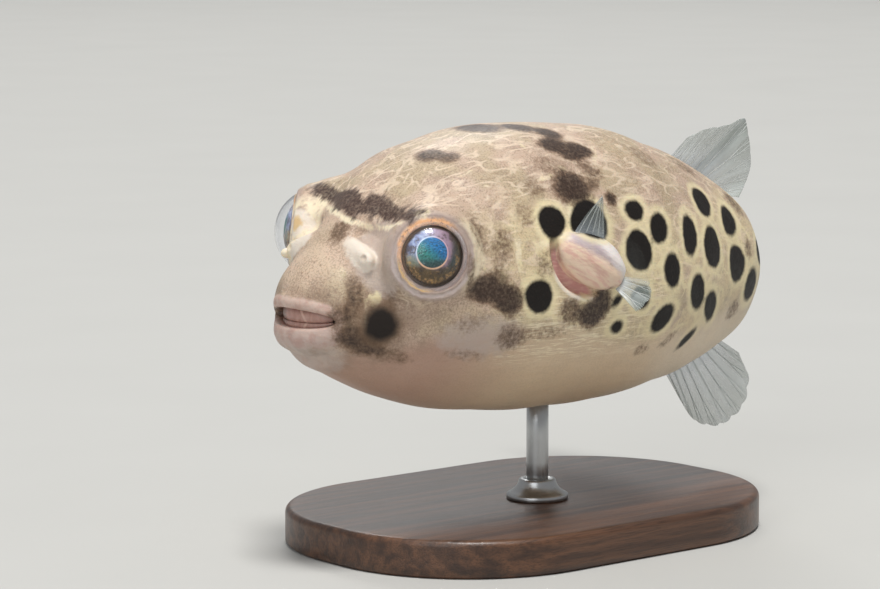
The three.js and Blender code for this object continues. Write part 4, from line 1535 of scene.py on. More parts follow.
@dataclass(frozen=True)
class IrisFinish:
    """Colours of pupil and iris, painted by place: towards the snout, and upwards."""

    pupil_blue: Colour = srgb(26, 98, 150)
    pupil_teal: Colour = srgb(44, 116, 106)
    pupil_dark: Colour = srgb(16, 42, 44)
    ring_high: Colour = srgb(176, 192, 206)
    ring_hind: Colour = srgb(190, 160, 160)
    ring_low: Colour = srgb(222, 178, 140)
    lavender: Colour = srgb(104, 116, 150)
    lilac: Colour = srgb(128, 106, 122)
    olive: Colour = srgb(56, 54, 40)
    teal: Colour = srgb(44, 56, 54)
    gold: Colour = srgb(84, 64, 32)
    fleck: Colour = srgb(196, 150, 86)
    moss: Colour = srgb(118, 128, 96)
    rim: Colour = srgb(52, 38, 26)
    ball: Colour = srgb(100, 74, 44)
    pupil_radius: float = 1.53
    ring_width: float = 0.08
    iris_radius: float = 2.86
    pupil_rise: float = 0.36
    pupil_ahead: float = 0.2

    def paint_pupil(self, graph: Graph, place: Wire, x: Wire, y: Wire) -> Wire:
        """Blue above and behind, teal before, dark below, with fine dark dashes."""
        blue = (y - x).ease(-0.9, 1.1)
        colour = graph.mix(blue, self.pupil_teal, self.pupil_blue)
        colour = colour.mix(y.ease(-0.35, -1.2, 0.9), self.pupil_dark)
        dashes = place.scaled(3.0, 3.0, 5.0).noise(1.6, 3, 0.7, 0.4)
        colour = colour.mix(dashes.ease(0.46, 0.6, 0.85), self.pupil_dark)
        flecks = place.scaled(2.0, 2.0, 3.0).noise(1.9, 3, 0.7).ease(0.6, 0.72, 0.5)
        return colour.mix(flecks, self.ring_high)

    def paint_iris(self, graph: Graph, place: Wire, x: Wire, y: Wire, radius: Wire) -> Wire:
        """Lavender towards the snout, lilac above, olive behind and gold below; the lavender and the pale
        mottles before it are partly painted reflection.
        """
        fleck = place.noise(3.4, 4, 0.7)
        mottle = place.noise(1.5, 3, 0.6)
        before = x.ease(-1.2, 1.4)
        high = y.ease(-0.9, 1.3)
        outer = radius.ease(1.9, 2.7)
        hind = graph.mix(outer, self.lilac, self.olive)
        hind = graph.mix(high, hind.mix(radius.ease(1.7, 2.3), self.teal), hind)
        hind = hind.mix(y.ease(0.9, 2.3), self.lilac)
        # Lavender towards the snout: partly the iris's own colour, partly painted reflection.
        colour = hind.mix(before, self.lavender)
        low = (x * -0.25 + y).ease(-0.7, -2.0)
        colour = colour.mix(low, self.gold)
        sparkle = fleck.ease(0.54, 0.72) * (low * 0.5 + 0.22)
        colour = colour.mix(sparkle, self.fleck)
        green = before * y.ease(0.2, -0.5) * y.ease(-1.6, -0.9) * radius.ease(1.5, 1.9) * 0.6
        colour = colour.mix(green, self.moss)
        # Pale mottles towards the snout and upwards: partly the iris's own colour, partly painted
        # reflection.
        pale = before * y.ease(-0.4, 0.3) * mottle.ease(0.5, 0.66) * 0.55
        colour = colour.mix(pale, self.ring_high)
        return colour.mix(mottle.ease(0.5, 0.36, 0.8), self.rim)

    def build(self) -> Material:
        """The iris's material."""
        graph = Finish("iris", Roughness=0.35, Coat_Weight=0.25, Coat_Roughness=0.1)
        radius, ahead, up = graph.vector_at("dial").parts()
        place = graph.vector_at("straight")
        x = ahead * radius - self.pupil_ahead
        y = up * radius - self.pupil_rise
        reach = graph.math("SQRT", x * x + y * y)
        iris = self.paint_iris(graph, place, x, y, reach)
        wobble = place.noise(1.8, 3) * 0.3 + radius
        fleck = place.noise(3.4, 4, 0.7)
        soft = self.iris_radius + 0.1
        golden = wobble.ease(soft - 0.62, soft - 0.4) * up.ease(0.3, -0.3) * fleck.ease(0.42, 0.62) * 0.6
        iris = iris.mix(golden, self.fleck)
        iris = iris.mix(wobble.ease(soft - 0.2, soft + 0.06), self.rim)
        iris = iris.mix(radius.ease(self.iris_radius, self.iris_radius + 0.12), self.ball)
        below = y.ease(0.3, -1.2)
        ring = graph.mix(x.ease(0.2, -1.0), self.ring_high, self.ring_hind)
        ring = ring.mix(below, self.ring_low)
        over = reach - (below * 0.05 + (self.pupil_radius + self.ring_width))
        worn = (place.noise(2.6, 3, 0.7) * 0.6 + 0.45).clamp()
        colour = iris.mix(over.ease(0.08, -0.02) * worn, ring)
        pupil = self.paint_pupil(graph, place, x, y)
        colour = colour.mix(reach.ease(self.pupil_radius + 0.03, self.pupil_radius - 0.03), pupil)
        graph.shade(Base_Color=colour)
        graph.bump(fleck * radius.ease(1.6, 1.9), 0.05 * MM)
        return graph.material


@dataclass
class Eye:
    """One eye: the ball with its painted iris, and the clear cornea over it."""

    side: int
    sides: int = 96

    @property
    def word(self) -> str:
        """Left or right, for names."""
        return "left" if self.side == LEFT else "right"

    def ball(self, finish: Material) -> Piece:
        """The ball's front with iris and pupil, closed behind."""
        turns = np.linspace(-4, 31, 12) * DEG
        edge = [(EYES.ball * math.cos(a), EYES.ball * math.sin(a)) for a in turns]
        front = [(2.85, 1.9), (2.5, 2.16), (2.1, 2.38), (1.7, 2.54), (1.3, 2.66), (0.9, 2.74), (0.5, 2.78)]
        profile = [(0.0, -0.4), (2.0, -0.4), (3.2, -0.4), *edge, *front, (0.0, 2.8)]
        axis, centre = EYES.gaze(self.side), EYES.centre(self.side)
        points, faces, dial = lathe(profile, centre, axis, self.sides)
        piece = make_flesh(f"eyeball_{self.word}", points, faces, finish)
        set_values(piece, "dial", dial)
        set_values(piece, "straight", points)
        disc = np.stack([dial[:, 0] * dial[:, 1], dial[:, 0] * dial[:, 2]], axis=1)
        is_back = (points - centre) @ axis < -0.3
        set_bake_map(piece, 0.5 + disc * np.where(is_back, 0.01, 0.13)[:, None])
        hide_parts(f"eye_{self.word}")
        return piece

    def cap(self, name: str, outer: float, wall: float, edge: float, steps: int, finish: Material) -> Piece:
        """A closed thin cap over the iris.

        Args:
            name: Name of the piece.
            outer: Radius of its outer face.
            wall: Its thickness.
            edge: Distance of its edge from the gaze.
            steps: Rows of points on each face.
            finish: Its material.

        Returns:
            The piece.
        """
        middle = EYES.cornea_top - EYES.cornea
        arcs = []
        for radius, way in ((outer - wall, 1), (outer, -1)):
            turns = np.linspace(2, math.asin(edge / radius) / DEG, steps)[::way] * DEG
            arcs += [(radius * math.sin(a), middle + radius * math.cos(a)) for a in turns]
        profile = [(0.0, middle + outer - wall), *arcs, (0.0, middle + outer)]
        points, faces, dial = lathe(profile, EYES.centre(self.side), EYES.gaze(self.side), 72)
        piece = make_flesh(f"{name}_{self.word}", points, faces, finish)
        set_values(piece, "dial", dial)
        set_values(piece, "straight", points)
        return piece

    def cornea(self, finish: Material) -> Piece:
        """A wide thin clear cap that runs out onto the skin round the iris."""
        return self.cap("cornea", EYES.cornea, EYES.cornea_wall, EYES.cornea_edge, 22, finish)

    def haze(self, finish: Material) -> Piece:
        """The milky rim of the cornea, a thin sheet just inside it."""
        outer = EYES.cornea - EYES.cornea_wall - EYES.haze_gap
        return self.cap("cornea_rim", outer, EYES.haze_wall, EYES.cornea_edge - 0.05, 26, finish)


def haze_finish() -> Material:
    """Milky skin that thickens from the iris's edge outwards and leaves the middle clear."""
    graph = Finish("milky rim", Roughness=0.3)
    radius, ahead, up = graph.vector_at("dial").parts()
    cloud = graph.vector_at("straight").noise(1.2, 3, 0.6)
    clear = (up * 1.1 + ahead).ease(-0.3, 0.9, 0.7)
    milky = radius.ease(2.8, 3.7) * radius.ease(EYES.cornea_edge, 3.9) * (1.0 - clear)
    colour = graph.mix(cloud, srgb(196, 190, 194), srgb(232, 224, 220))
    graph.shade(Base_Color=colour, Alpha=milky * (cloud * 0.5 + 0.02))
    return graph.material


def clear_finish() -> Material:
    """Clear horn of the cornea, which lets lamps through and thins out at its edge."""
    tint = srgb(252, 253, 255)
    graph = Finish("clear cornea", Base_Color=tint, Roughness=0.03, IOR=1.2, Transmission_Weight=1.0)
    radius = graph.vector_at("dial").parts()[0]
    graph.shade(Alpha=radius.ease(EYES.cornea_edge, EYES.cornea_edge - 0.5))
    lamp = graph.wire("ShaderNodeLightPath", "Is Shadow Ray")
    passing = graph.wire("ShaderNodeBsdfTransparent")
    both = graph.chain("ShaderNodeMixShader", {}, lamp, Wire(graph, graph.shader.outputs[0]), passing)
    graph.feed(graph.tree.nodes["Material Output"].inputs["Surface"], both)
    return graph.material


@dataclass
class Beak:
    """The two fused tooth plates behind the lips."""

    front: float = 5.2
    back: float = 3.7
    spread: float = 0.97
    rings: int = 52
    edge: float = 0.03
    bite: float = -0.42

    def plate(self, name: str, way: int, finish: Material) -> Piece:
        """One plate; way is 1 for the upper one."""
        rows, marks = [], []
        for i in range(self.rings + 1):
            t = (2 * i / self.rings - 1) * self.spread
            angle = t * MOUTH.half_angle
            height, gap = MOUTH.line(np.float64(abs(t)))
            root = way * (gap + 0.2)
            edge = self.bite * gap + way * self.edge
            notch = 0.05 * math.exp(-(((t - 0.24) / 0.02) ** 2))
            bulge = self.front - notch
            section = [
                (self.back, root),
                (bulge - 0.25, root),
                (bulge - 0.04, edge + (root - edge) * 0.75),
                (bulge, edge + (root - edge) * 0.4),
                (bulge - 0.04, edge + way * 0.06),
                (bulge - 0.14, edge),
                (self.back + 0.35, edge + way * 0.02),
                (self.back, edge + way * 0.08),
            ]
            rows.append([MOUTH.point(np.float64(angle), distance, height + z) for distance, z in section])
            marks += [(t, (z - edge) * way, distance) for distance, z in section]
        faces = [face[::-way] for face in loft(len(rows), len(rows[0]))]
        piece = make_flesh(name, np.array(rows).reshape(-1, 3), faces, finish)
        set_values(piece, "plate", np.array(marks))
        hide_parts("beak_upper" if way > 0 else "beak_lower")
        return piece


def beak_finish() -> Material:
    """Pinkish enamel with a pale suture down the middle and a pale cutting edge, with painted shade towards
    the roots under the lips and on the far side.
    """
    graph = Finish("beak enamel", Subsurface_Weight=0.1, Subsurface_Scale=0.0006)
    across, above, _ = graph.vector_at("plate").parts()
    stain = graph.millimetres().scaled(1, 1, 0.35).noise(2.4, 3)
    colour = graph.mix(stain.ease(0.3, 0.7), srgb(166, 124, 112), srgb(188, 150, 138))
    colour = colour.mix(across.ease(0.1, 0.6, 0.5), srgb(186, 148, 136))
    # Painted shadow on the far side of the mouth.
    colour = colour.mix(across.ease(-0.2, -0.5) * across.ease(-0.95, -0.6) * 0.75, srgb(92, 70, 58))
    # Painted shade towards the roots, under the lips.
    colour = colour.mix(above.ease(0.6, 1.5, 0.6), srgb(128, 88, 78))
    suture = abs(above * 0.12 + (across - 0.36)).ease(0.05, 0.015)
    colour = colour.mix(suture * 0.7, srgb(214, 184, 168))
    graph.shade(Base_Color=colour, Roughness=stain * 0.2 + 0.25)
    graph.bump(stain, 0.05 * MM)
    return graph.material


# ---------------------------------------------------------------- fins


@dataclass(frozen=True)
class RayPose:
    """How the ray at u runs, from its root.

    slope is its angle in degrees up from straight back, lean its angle out to the left, and bow
    how far its middle is pushed towards the snout, as a share of its length.
    """

    u: float
    length: float
    slope: float
    lean: float
    bow: float = 0.0

    def run(self) -> Array:
        """From root to tip in straight coordinates."""
        slope, lean = self.slope * DEG, self.lean * DEG
        flat = self.length * math.cos(lean)
        return np.array([flat * math.cos(slope), self.length * math.sin(lean), flat * math.sin(slope)])


@dataclass(frozen=True)
class MidlineRoot:
    """Root line of the dorsal (way 1) or anal (way -1) fin, a little below the skin."""

    way: int
    start: float
    end: float
    sunk: float = 0.5

    def __call__(self, u: Array) -> Array:
        """Root of the ray at u."""
        s = blend_rows(self.start, self.end, u)
        edge = PROFILES["back" if self.way > 0 else "belly"](s)
        return np.stack([s, np.zeros_like(s), edge - self.way * self.sunk], axis=-1)


LOBE_STEPS = (0, 0.15, 0.3, 0.42, 0.6, 0.78, 0.88, 1)


@dataclass(frozen=True)
class LobeRoot:
    """Root line of a pectoral fin round the hind margin of its lobe."""

    side: int
    out: float = 0.3
    along: Curve = Curve(LOBE_STEPS, (-3.6, -1.75, 0.1, 1.4, 3.3, 4.1, 4.15, 3.9))
    across: Curve = Curve(LOBE_STEPS, (1.5, 1.9, 1.95, 2.0, 1.1, 0.2, -0.5, -1.3))

    def __call__(self, u: Array) -> Array:
        """Root of the ray at u."""
        return LOBE.place(self.along(u), self.across(u), self.out, self.side)


@dataclass(frozen=True)
class TailRoot:
    """Root line of the tail fin across the end of the stalk."""

    sunk: float = 0.7

    def __call__(self, u: Array) -> Array:
        """Root of the ray at u."""
        end = SECTIONS[-1]
        z = blend_rows(end.belly + 0.5, end.back - 0.5, u)
        return np.stack([np.full_like(z, end.at - self.sunk), np.zeros_like(z), z], axis=-1)


@dataclass
class Fin:
    """A fan of soft rays in a thin membrane.

    poses are rows of RayPose for single rays, between which the others are laid; lift joins a sunk
    root to the skin, and solid gives the membrane's opacity at places u.
    """

    name: str
    node: str
    root: Callable[[Array], Array]
    poses: Sequence[Sequence[float]]
    rays: int
    lift: Triple = (0.0, 0.0, 0.0)
    solid: tuple[tuple[float, float], ...] = ((0.0, 0.5), (1.0, 0.5))
    thick: float = 0.2
    ray_radius: float = 0.1
    pleat: float = 0.05
    notch: float = 0.02
    frayed: float = 0.015
    ripple: float = 0.025
    margin: float = 0.05
    fork: float = 0.17
    taper: float = 0.45
    columns: int = 8
    steps: int = 26
    seed: int = 1

    def __post_init__(self) -> None:
        """Fits the curves through the poses."""
        poses = [RayPose(*row) for row in self.poses]
        places = [pose.u for pose in poses]
        self.runs = [Curve(places, run) for run in np.array([pose.run() for pose in poses]).T]
        self.bows = Curve(places, [pose.bow for pose in poses])
        self.opacity = Curve(*zip(*self.solid))

    def ray(self, u: Array) -> Array:
        """Whole run of the ray at u."""
        return np.stack([run(u) + part for run, part in zip(self.runs, self.lift)], axis=-1)

    def across(self, u: Array) -> Array:
        """Direction across the fin at u, from the turn between neighbouring rays."""
        step, level = 0.03, 0.6
        low, high = np.clip(u - step, 0, 1), np.clip(u + step, 0, 1)
        tangent = self.root(high) + level * self.ray(high) - self.root(low) - level * self.ray(low)
        normal = np.cross(self.ray(u), tangent)
        return normal / np.maximum(np.linalg.norm(normal, axis=-1, keepdims=True), 1e-9)

    def surface(self, u: Array, v: Array, aside: Array = 0.0) -> Array:
        """Places on the fin in the frame.

        Args:
            u: From the first ray (0) to the last (1).
            v: From the root (0) to the margin (1).
            aside: Distance from the membrane's middle.

        Returns:
            Rows of x, y and z.
        """
        run = self.ray(u)
        length = np.linalg.norm(run, axis=-1)
        lift = self.ripple * np.sin(5.0 * u + 2.2 * v + self.seed) * v
        bow = 4 * self.bows(u) * v * (1 - v) * length
        run = run * v[..., None] - np.stack([bow, 0 * bow, 0 * bow], axis=-1)
        run = run + self.across(u) * (lift * length + aside)[..., None]
        return BACKBONE.reach(self.root(u).reshape(-1, 3), run.reshape(-1, 3))

    def tip(self, u: Array) -> Array:
        """How far the membrane reaches at u: full at the rays, less between, and a little frayed."""
        between = np.abs(np.sin(math.pi * u * self.rays)) ** 0.8
        rng = np.random.default_rng(self.seed)
        knots = np.linspace(0, 1, self.rays * 2 + 1)
        frayed = np.interp(u, knots, rng.uniform(0, self.frayed, len(knots)))
        return 1 - self.notch * (1 - between) - frayed

    def membrane(self, finish: Material) -> Piece:
        """The membrane, pleated between the rays and closed round its rim."""
        columns = self.rays * self.columns
        u, v = np.meshgrid(np.linspace(0, 1, columns + 1), np.linspace(0, 1, self.steps + 1), indexing="ij")
        reach = self.tip(u[:, 0])[:, None] * v
        pleats = self.pleat * np.cos(2 * math.pi * u * self.rays) * ease(v, 0.02, 0.3)
        half = blend_rows(self.thick, self.margin, ease(v, 0, 1)) / 2
        count = u.size
        placed = np.concatenate([self.surface(u, reach, pleats + way * half) for way in (1, -1)])
        row = self.steps + 1
        index = np.arange(count).reshape(columns + 1, row)
        a, b = index[:-1, :-1].ravel(), index[1:, :-1].ravel()
        c, d = index[1:, 1:].ravel(), index[:-1, 1:].ravel()
        front = np.stack([a, b, c, d], axis=1)
        loop = np.concatenate([index[:, 0], index[-1, 1:], index[-2::-1, -1], index[0, -2:0:-1]])
        onward = np.roll(loop, -1)
        rim = np.stack([loop, loop + count, onward + count, onward], axis=1)
        faces = np.concatenate([front, front[:, ::-1] + count, rim])
        if self.faces_inwards(placed, faces):
            faces = faces[:, ::-1]
        piece = make_mesh(f"{self.name}_membrane", placed, faces, finish)
        fan = np.stack([u.ravel(), v.ravel(), np.zeros(count)], axis=1)
        set_values(piece, "fan", np.tile(fan, (2, 1)))
        set_values(piece, "solid", np.tile(self.opacity(u.ravel()), 2))
        half_map = fan[:, :2] * (0.94, 0.46)
        set_bake_map(piece, np.concatenate([half_map + (0.03, 0.02), half_map + (0.03, 0.52)]))
        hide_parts(self.node)
        return piece

    @staticmethod
    def faces_inwards(points: Array, faces: Array) -> bool:
        """Whether a closed shell of four-sided faces is inside out."""
        p, q, r, s = (points[faces[:, k]] for k in range(4))
        volume = np.einsum("ij,ij->", p, np.cross(q, r)) + np.einsum("ij,ij->", p, np.cross(r, s))
        return volume < 0

    def ray_lines(self) -> tuple[Array, list[tuple[int, int]], Values]:
        """Lines of the rays, each forking twice towards its tip.

        A fork is its start and end along the ray, its share of the radius, and for each branch how
        far aside it begins and ends.

        Returns:
            Points in the frame, the edges between them, and the values that the points carry.
        """
        points: list[Array] = []
        edges: list[tuple[int, int]] = []
        radii: list[float] = []
        solid: list[float] = []
        forks = (
            (0.0, 0.5, 1.0, ((0.0, 0.0),)),
            (0.5, 0.78, 0.72, ((0.0, -1.0), (0.0, 1.0))),
            (0.78, 1.0, 0.52, ((-1.0, -1.55), (-1.0, -0.55), (1.0, 0.55), (1.0, 1.55))),
        )
        for number in range(self.rays):
            middle = (number + 0.5) / self.rays
            top = float(self.tip(np.array([middle]))[0])
            for start, end, share, branches in forks:
                for origin, offset in branches:
                    v = np.linspace(start, end, 8)
                    spread = self.fork / self.rays * blend_rows(origin, offset, ease(v, start, end))
                    u = np.clip(middle + spread * ease(v, 0.3, 1.0), 0, 1)
                    line = self.surface(u, v * top)
                    first = len(radii)
                    points.append(line)
                    edges += [(first + k, first + k + 1) for k in range(len(v) - 1)]
                    radii += list(self.ray_radius * share * (1 - self.taper * v) * MM)
                    solid += list(self.opacity(u))
        return np.concatenate(points), edges, {"radius_mm": np.array(radii), "solid": np.array(solid)}

    def struts(self, sweep: "RaySweep", finish: Material) -> Piece:
        """The rays as one mesh of thin jointed rods."""
        points, edges, values = self.ray_lines()
        return sweep.run(f"{self.name}_rays", points, edges, values, finish)


class RaySweep:
    """A geometry tree that turns lines with a radius into jointed rods."""

    def __init__(self) -> None:
        """Builds the tree."""
        tree = bpy.data.node_groups.new("fin ray sweep", "GeometryNodeTree")
        kinds = (("Lines", "Geometry"), ("Sides", "Int"), ("Joint swell", "Float"), ("Finish", "Material"))
        for name, kind in kinds:
            tree.interface.new_socket(name, in_out="INPUT", socket_type=f"NodeSocket{kind}")
        tree.interface.new_socket("Rods", in_out="OUTPUT", socket_type="NodeSocketGeometry")
        graph = Graph(tree)
        sockets = tree.nodes.new("NodeGroupInput").outputs
        lines, sides, joint, finish = (Wire(graph, socket) for socket in sockets if socket.name)
        lines = graph.wire("GeometryNodeMeshToCurve", Mesh=lines)
        lines = graph.wire("GeometryNodeResampleCurve", Curve=lines, Count=22)
        radius = graph.wire("GeometryNodeInputNamedAttribute", 0, {"data_type": "FLOAT"}, Name="radius_mm")
        beat = graph.math("MODULO", graph.wire("GeometryNodeInputIndex"), 2.0)
        scale = radius * (beat * joint + 1.0)
        ring = graph.wire("GeometryNodeCurvePrimitiveCircle", Resolution=sides, Radius=1.0)
        sweep = {"Curve": lines, "Profile_Curve": ring, "Scale": scale, "Fill_Caps": True}
        rods = graph.wire("GeometryNodeCurveToMesh", **sweep)
        solid = graph.wire("GeometryNodeRealizeInstances", Geometry=rods)
        dressed = graph.wire("GeometryNodeSetMaterial", Geometry=solid, Material=finish)
        graph.feed(tree.nodes.new("NodeGroupOutput").inputs[0], dressed)
        self.tree = tree

    def run(
        self, name: str, points: Array, edges: list[tuple[int, int]], values: Values, finish: Material
    ) -> Piece:
        """Sweeps lines into rods.

        Args:
            name: Name of the piece.
            points: Points of the lines, in metres.
            edges: Pairs of points that are joined.
            values: What each point carries: radius_mm, its rod's radius, and anything the finish reads.
            finish: Its material.

        Returns:
            A plain mesh piece.
        """
        mesh = bpy.data.meshes.new(f"{name}_lines")
        mesh.from_pydata(points.tolist(), edges, [])
        source = add_object(mesh.name, mesh)
        for key, numbers in values.items():
            set_values(source, key, numbers)
        modifier = source.modifiers.new("sweep", "NODES")
        modifier.node_group = self.tree
        sockets = {item.name: item.identifier for item in self.tree.interface.items_tree}
        for key, value in (("Sides", 6), ("Joint swell", 0.12), ("Finish", finish)):
            modifier[sockets[key]] = value
        bpy.context.view_layer.update()
        evaluated = source.evaluated_get(bpy.context.evaluated_depsgraph_get())
        solid = bpy.data.meshes.new_from_object(evaluated)
        solid.name = name
        solid.shade_smooth()
        bpy.data.objects.remove(source)
        return add_object(name, solid)


def membrane_finish() -> Material:
    """Clear bluish grey membrane, whiter towards its root, as solid as its points say."""
    graph = Finish("fin membrane", Roughness=0.3)
    fan = graph.vector_at("fan")
    v = fan.parts()[1]
    cloud = fan.scaled(7.0, 1.1, 1.0).noise(1.0, 2, 0.45)
    colour = graph.mix(v.ease(0.0, 0.8), srgb(196, 206, 216), srgb(140, 150, 142))
    colour = colour.mix(cloud.ease(0.42, 0.62, 0.6), srgb(214, 222, 222))
    share = cloud * 0.9 + 0.5 + v.ease(0.35, 0.0, 0.45)
    graph.shade(Base_Color=colour, Alpha=(share * graph.value_at("solid")).clamp())
    return graph.material


def ray_finish() -> Material:
    """Pale horny rays, fainter where the membrane is thin."""
    graph = Finish("fin rays", Roughness=0.35)
    cloud = graph.millimetres().noise(1.4, 2)
    colour = graph.mix(cloud, srgb(216, 222, 220), srgb(246, 248, 246))
    share = graph.value_at("solid") * 1.5 - 0.04
    graph.shade(Base_Color=colour, Alpha=(share * (cloud * 0.6 + 0.6)).clamp())
    return graph.material


# Rows of u, length, slope, lean and bow, as in RayPose.
DORSAL_POSES = (
    (0, 3.4, 37, 10), (0.2, 5.3, 45, 13), (0.36, 6.7, 45, 14), (0.5, 9.8, 37, 7),
    (0.62, 8.7, 29, 12), (0.75, 7.8, 16, 17), (0.88, 6.1, 3, 26), (1, 3.8, -24, 52),
)
ANAL_POSES = (
    (0, 4.4, -54, 5), (0.15, 6.8, -65, 7), (0.3, 8.5, -65, 8), (0.45, 9.7, -60, 10),
    (0.6, 10.1, -52, 11), (0.72, 9.7, -44, 14), (0.85, 8.4, -36, 18), (1, 4.8, -36, 38),
)
LEFT_POSES = (
    (0, 4.5, 66, 27, 0.05), (0.15, 4.5, 84, 16), (0.3, 5.2, 98, 7), (0.42, 3.9, 112, 22),
    (0.6, 3.2, 80, 55), (0.78, 3.3, -30, 78), (0.88, 3.8, -46, 69), (1, 3.5, -78, 51),
)
RIGHT_POSES = ((0, 5.9, 63, -20), (0.5, 8.7, 12, -35), (1, 7, -42, -30))
TAIL_POSES = (
    (0, 13.9, -21, 0), (0.25, 16.5, -11, 0), (0.5, 17.1, 0, 0), (0.75, 16.5, 11, 0), (1, 13.9, 21, 0),
)

# Opacity of the membrane at places u.
DORSAL_SOLID = ((0, 0.38), (0.42, 0.42), (0.5, 0.7), (0.6, 0.5), (0.8, 0.38), (1, 0.4))
ANAL_SOLID = ((0, 0.42), (0.5, 0.38), (1, 0.4))
LEFT_SOLID = ((0, 0.26), (0.28, 0.3), (0.36, 0.04), (0.5, 0.015), (0.74, 0.03), (0.82, 0.4), (1, 0.36))


def all_fins() -> tuple[Fin, ...]:
    """The five fins."""
    back, belly = MidlineRoot(1, 53.0, 60.9), MidlineRoot(-1, 52.3, 60.5)
    left, right = LobeRoot(LEFT), LobeRoot(RIGHT)
    small = {"ray_radius": 0.07, "thick": 0.14}
    broad = {"ray_radius": 0.14, "thick": 0.3}
    return (
        Fin("dorsal", "dorsal_fin", back, DORSAL_POSES, 10, (0, 0, 0.5), DORSAL_SOLID, seed=3),
        Fin("anal", "anal_fin", belly, ANAL_POSES, 9, (0, 0, -0.5), ANAL_SOLID, seed=4),
        Fin("pectoral_left", "pectoral_fin_left", left, LEFT_POSES, 15, solid=LEFT_SOLID, seed=5, **small),
        Fin("pectoral_right", "pectoral_fin_right", right, RIGHT_POSES, 15, seed=6, **small),
        Fin("tail", "caudal_fin", TailRoot(), TAIL_POSES, 9, (0.7, 0, 0), seed=7, **broad),
    )


# ---------------------------------------------------------------- stand and studio


def wood_finish() -> Material:
    """Dark oiled walnut with grain along the base."""
    graph = Finish("walnut", Coat_Weight=0.2, Coat_Roughness=0.2)
    place = graph.millimetres()
    bent = place.scaled(0.02, 0.09, 0.09).noise(1.0, 2)
    grain = place.scaled(0.05, 1.3, 1.3).noise(0.6, 5, 0.5, bent * 1.2).ease(0.3, 0.72)
    fibre = place.scaled(0.35, 6.0, 6.0).noise(1.0, 3, 0.6)
    colour = graph.mix(grain, srgb(58, 37, 26), srgb(104, 70, 48))
    colour = colour.mix(fibre.ease(0.55, 0.35, 0.45), srgb(34, 21, 15))
    graph.shade(Base_Color=colour, Roughness=fibre * 0.25 + 0.28)
    graph.bump(fibre, 0.06 * MM)
    return graph.material


def steel_finish(name: str, stretch: Triple) -> Material:
    """Brushed steel whose scratches run where the pattern is stretched.

    Args:
        name: Name of the finish.
        stretch: Scale of the scratches along the axes, per millimetre.

    Returns:
        The material.
    """
    graph = Finish(name, Metallic=1.0)
    place = graph.millimetres()
    brush = place.scaled(*stretch).noise(1.0, 3, 0.7)
    colour = graph.mix(place.noise(0.4, 2), srgb(168, 170, 172), srgb(202, 203, 203))
    graph.shade(Base_Color=colour, Roughness=brush * 0.22 + 0.2)
    graph.bump(brush, 0.02 * MM)
    return graph.material


@dataclass(frozen=True)
class Stand:
    """The display stand: a rounded wooden base, a turned collar, and the rod that carries the fish."""

    half_long: float = 27.0
    half_wide: float = 19.0
    tall: float = 4.0
    corner: float = 17.0
    bevel: float = 0.7
    rod_at: tuple[float, float] = (0.0, -2.0)
    rod_radius: float = 1.2
    rod_top: float = 14.9

    def outline(self, inset: float, z: float) -> Array:
        """One ring of the base, drawn in from its widest outline, at a height."""
        turn = np.linspace(0, 90, 25) * DEG
        parts = []
        for quarter, (x, y) in enumerate(((1, 1), (-1, 1), (-1, -1), (1, -1))):
            angle = turn + quarter * math.pi / 2
            reach = self.corner - inset
            x, y = x * (self.half_long - self.corner), y * (self.half_wide - self.corner)
            ring = [x + reach * np.cos(angle), y + reach * np.sin(angle), np.full_like(angle, z)]
            parts.append(np.stack(ring, axis=1))
        return np.concatenate(parts)

    def base(self) -> Piece:
        """The base, with a rounded upper edge."""
        round_off = np.linspace(0, 90, 7) * DEG
        levels = [(0.35, 0.0), (0.0, 0.35), (0.0, 1.2), (0.0, 2.6)]
        for a in round_off:
            levels.append((self.bevel * (1 - math.cos(a)), self.tall - self.bevel * (1 - math.sin(a))))
        rings = [self.outline(*level) for level in (*levels, (self.bevel + 0.5, self.tall))]
        faces = loft(len(rings), len(rings[0]))
        piece = make_mesh("walnut_base", np.concatenate(rings) * MM, faces, wood_finish())
        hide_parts("stand_base")
        return piece

    def turned(self, name: str, node: str, profile: Profile, finish: Material) -> Piece:
        """A round piece about the rod's axis, in place of a node."""
        centre = np.array([*self.rod_at, 0.0])
        points, faces, _ = lathe(profile, centre, np.array([0, 0, 1.0]), 64)
        piece = make_mesh(name, points * MM, faces, finish)
        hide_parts(node)
        return piece

    def build(self) -> tuple[tuple[Piece, str], ...]:
        """All three pieces with their slots."""
        low, high, r = self.tall + 0.3, self.rod_top, self.rod_radius
        rod = [(0, low), (r - 0.1, low), (r, low + 0.1), (r, 8), (r, 11)]
        rod += [(r, high - 0.1), (r - 0.1, high), (0, high)]
        collar = [(0, 4.02), (3, 4.02), (3.28, 4.02), (3.36, 4.1), (3.36, 4.5), (3.28, 4.62), (2.9, 4.8)]
        collar += [(2.5, 5.1), (2.2, 5.5), (2.05, 5.9), (1.98, 6.12), (1.86, 6.22), (1.5, 6.22)]
        collar += [(1.3, 6.12), (0, 6.1)]
        brushed = steel_finish("brushed rod", (7.0, 7.0, 0.25))
        bright = steel_finish("turned collar", (0.6, 0.6, 9.0))
        return (
            (self.base(), "wood"),
            (self.turned("steel_collar", "stand_collar", collar, bright), "steel"),
            (self.turned("steel_rod", "stand_rod", rod, brushed), "steel"),
        )


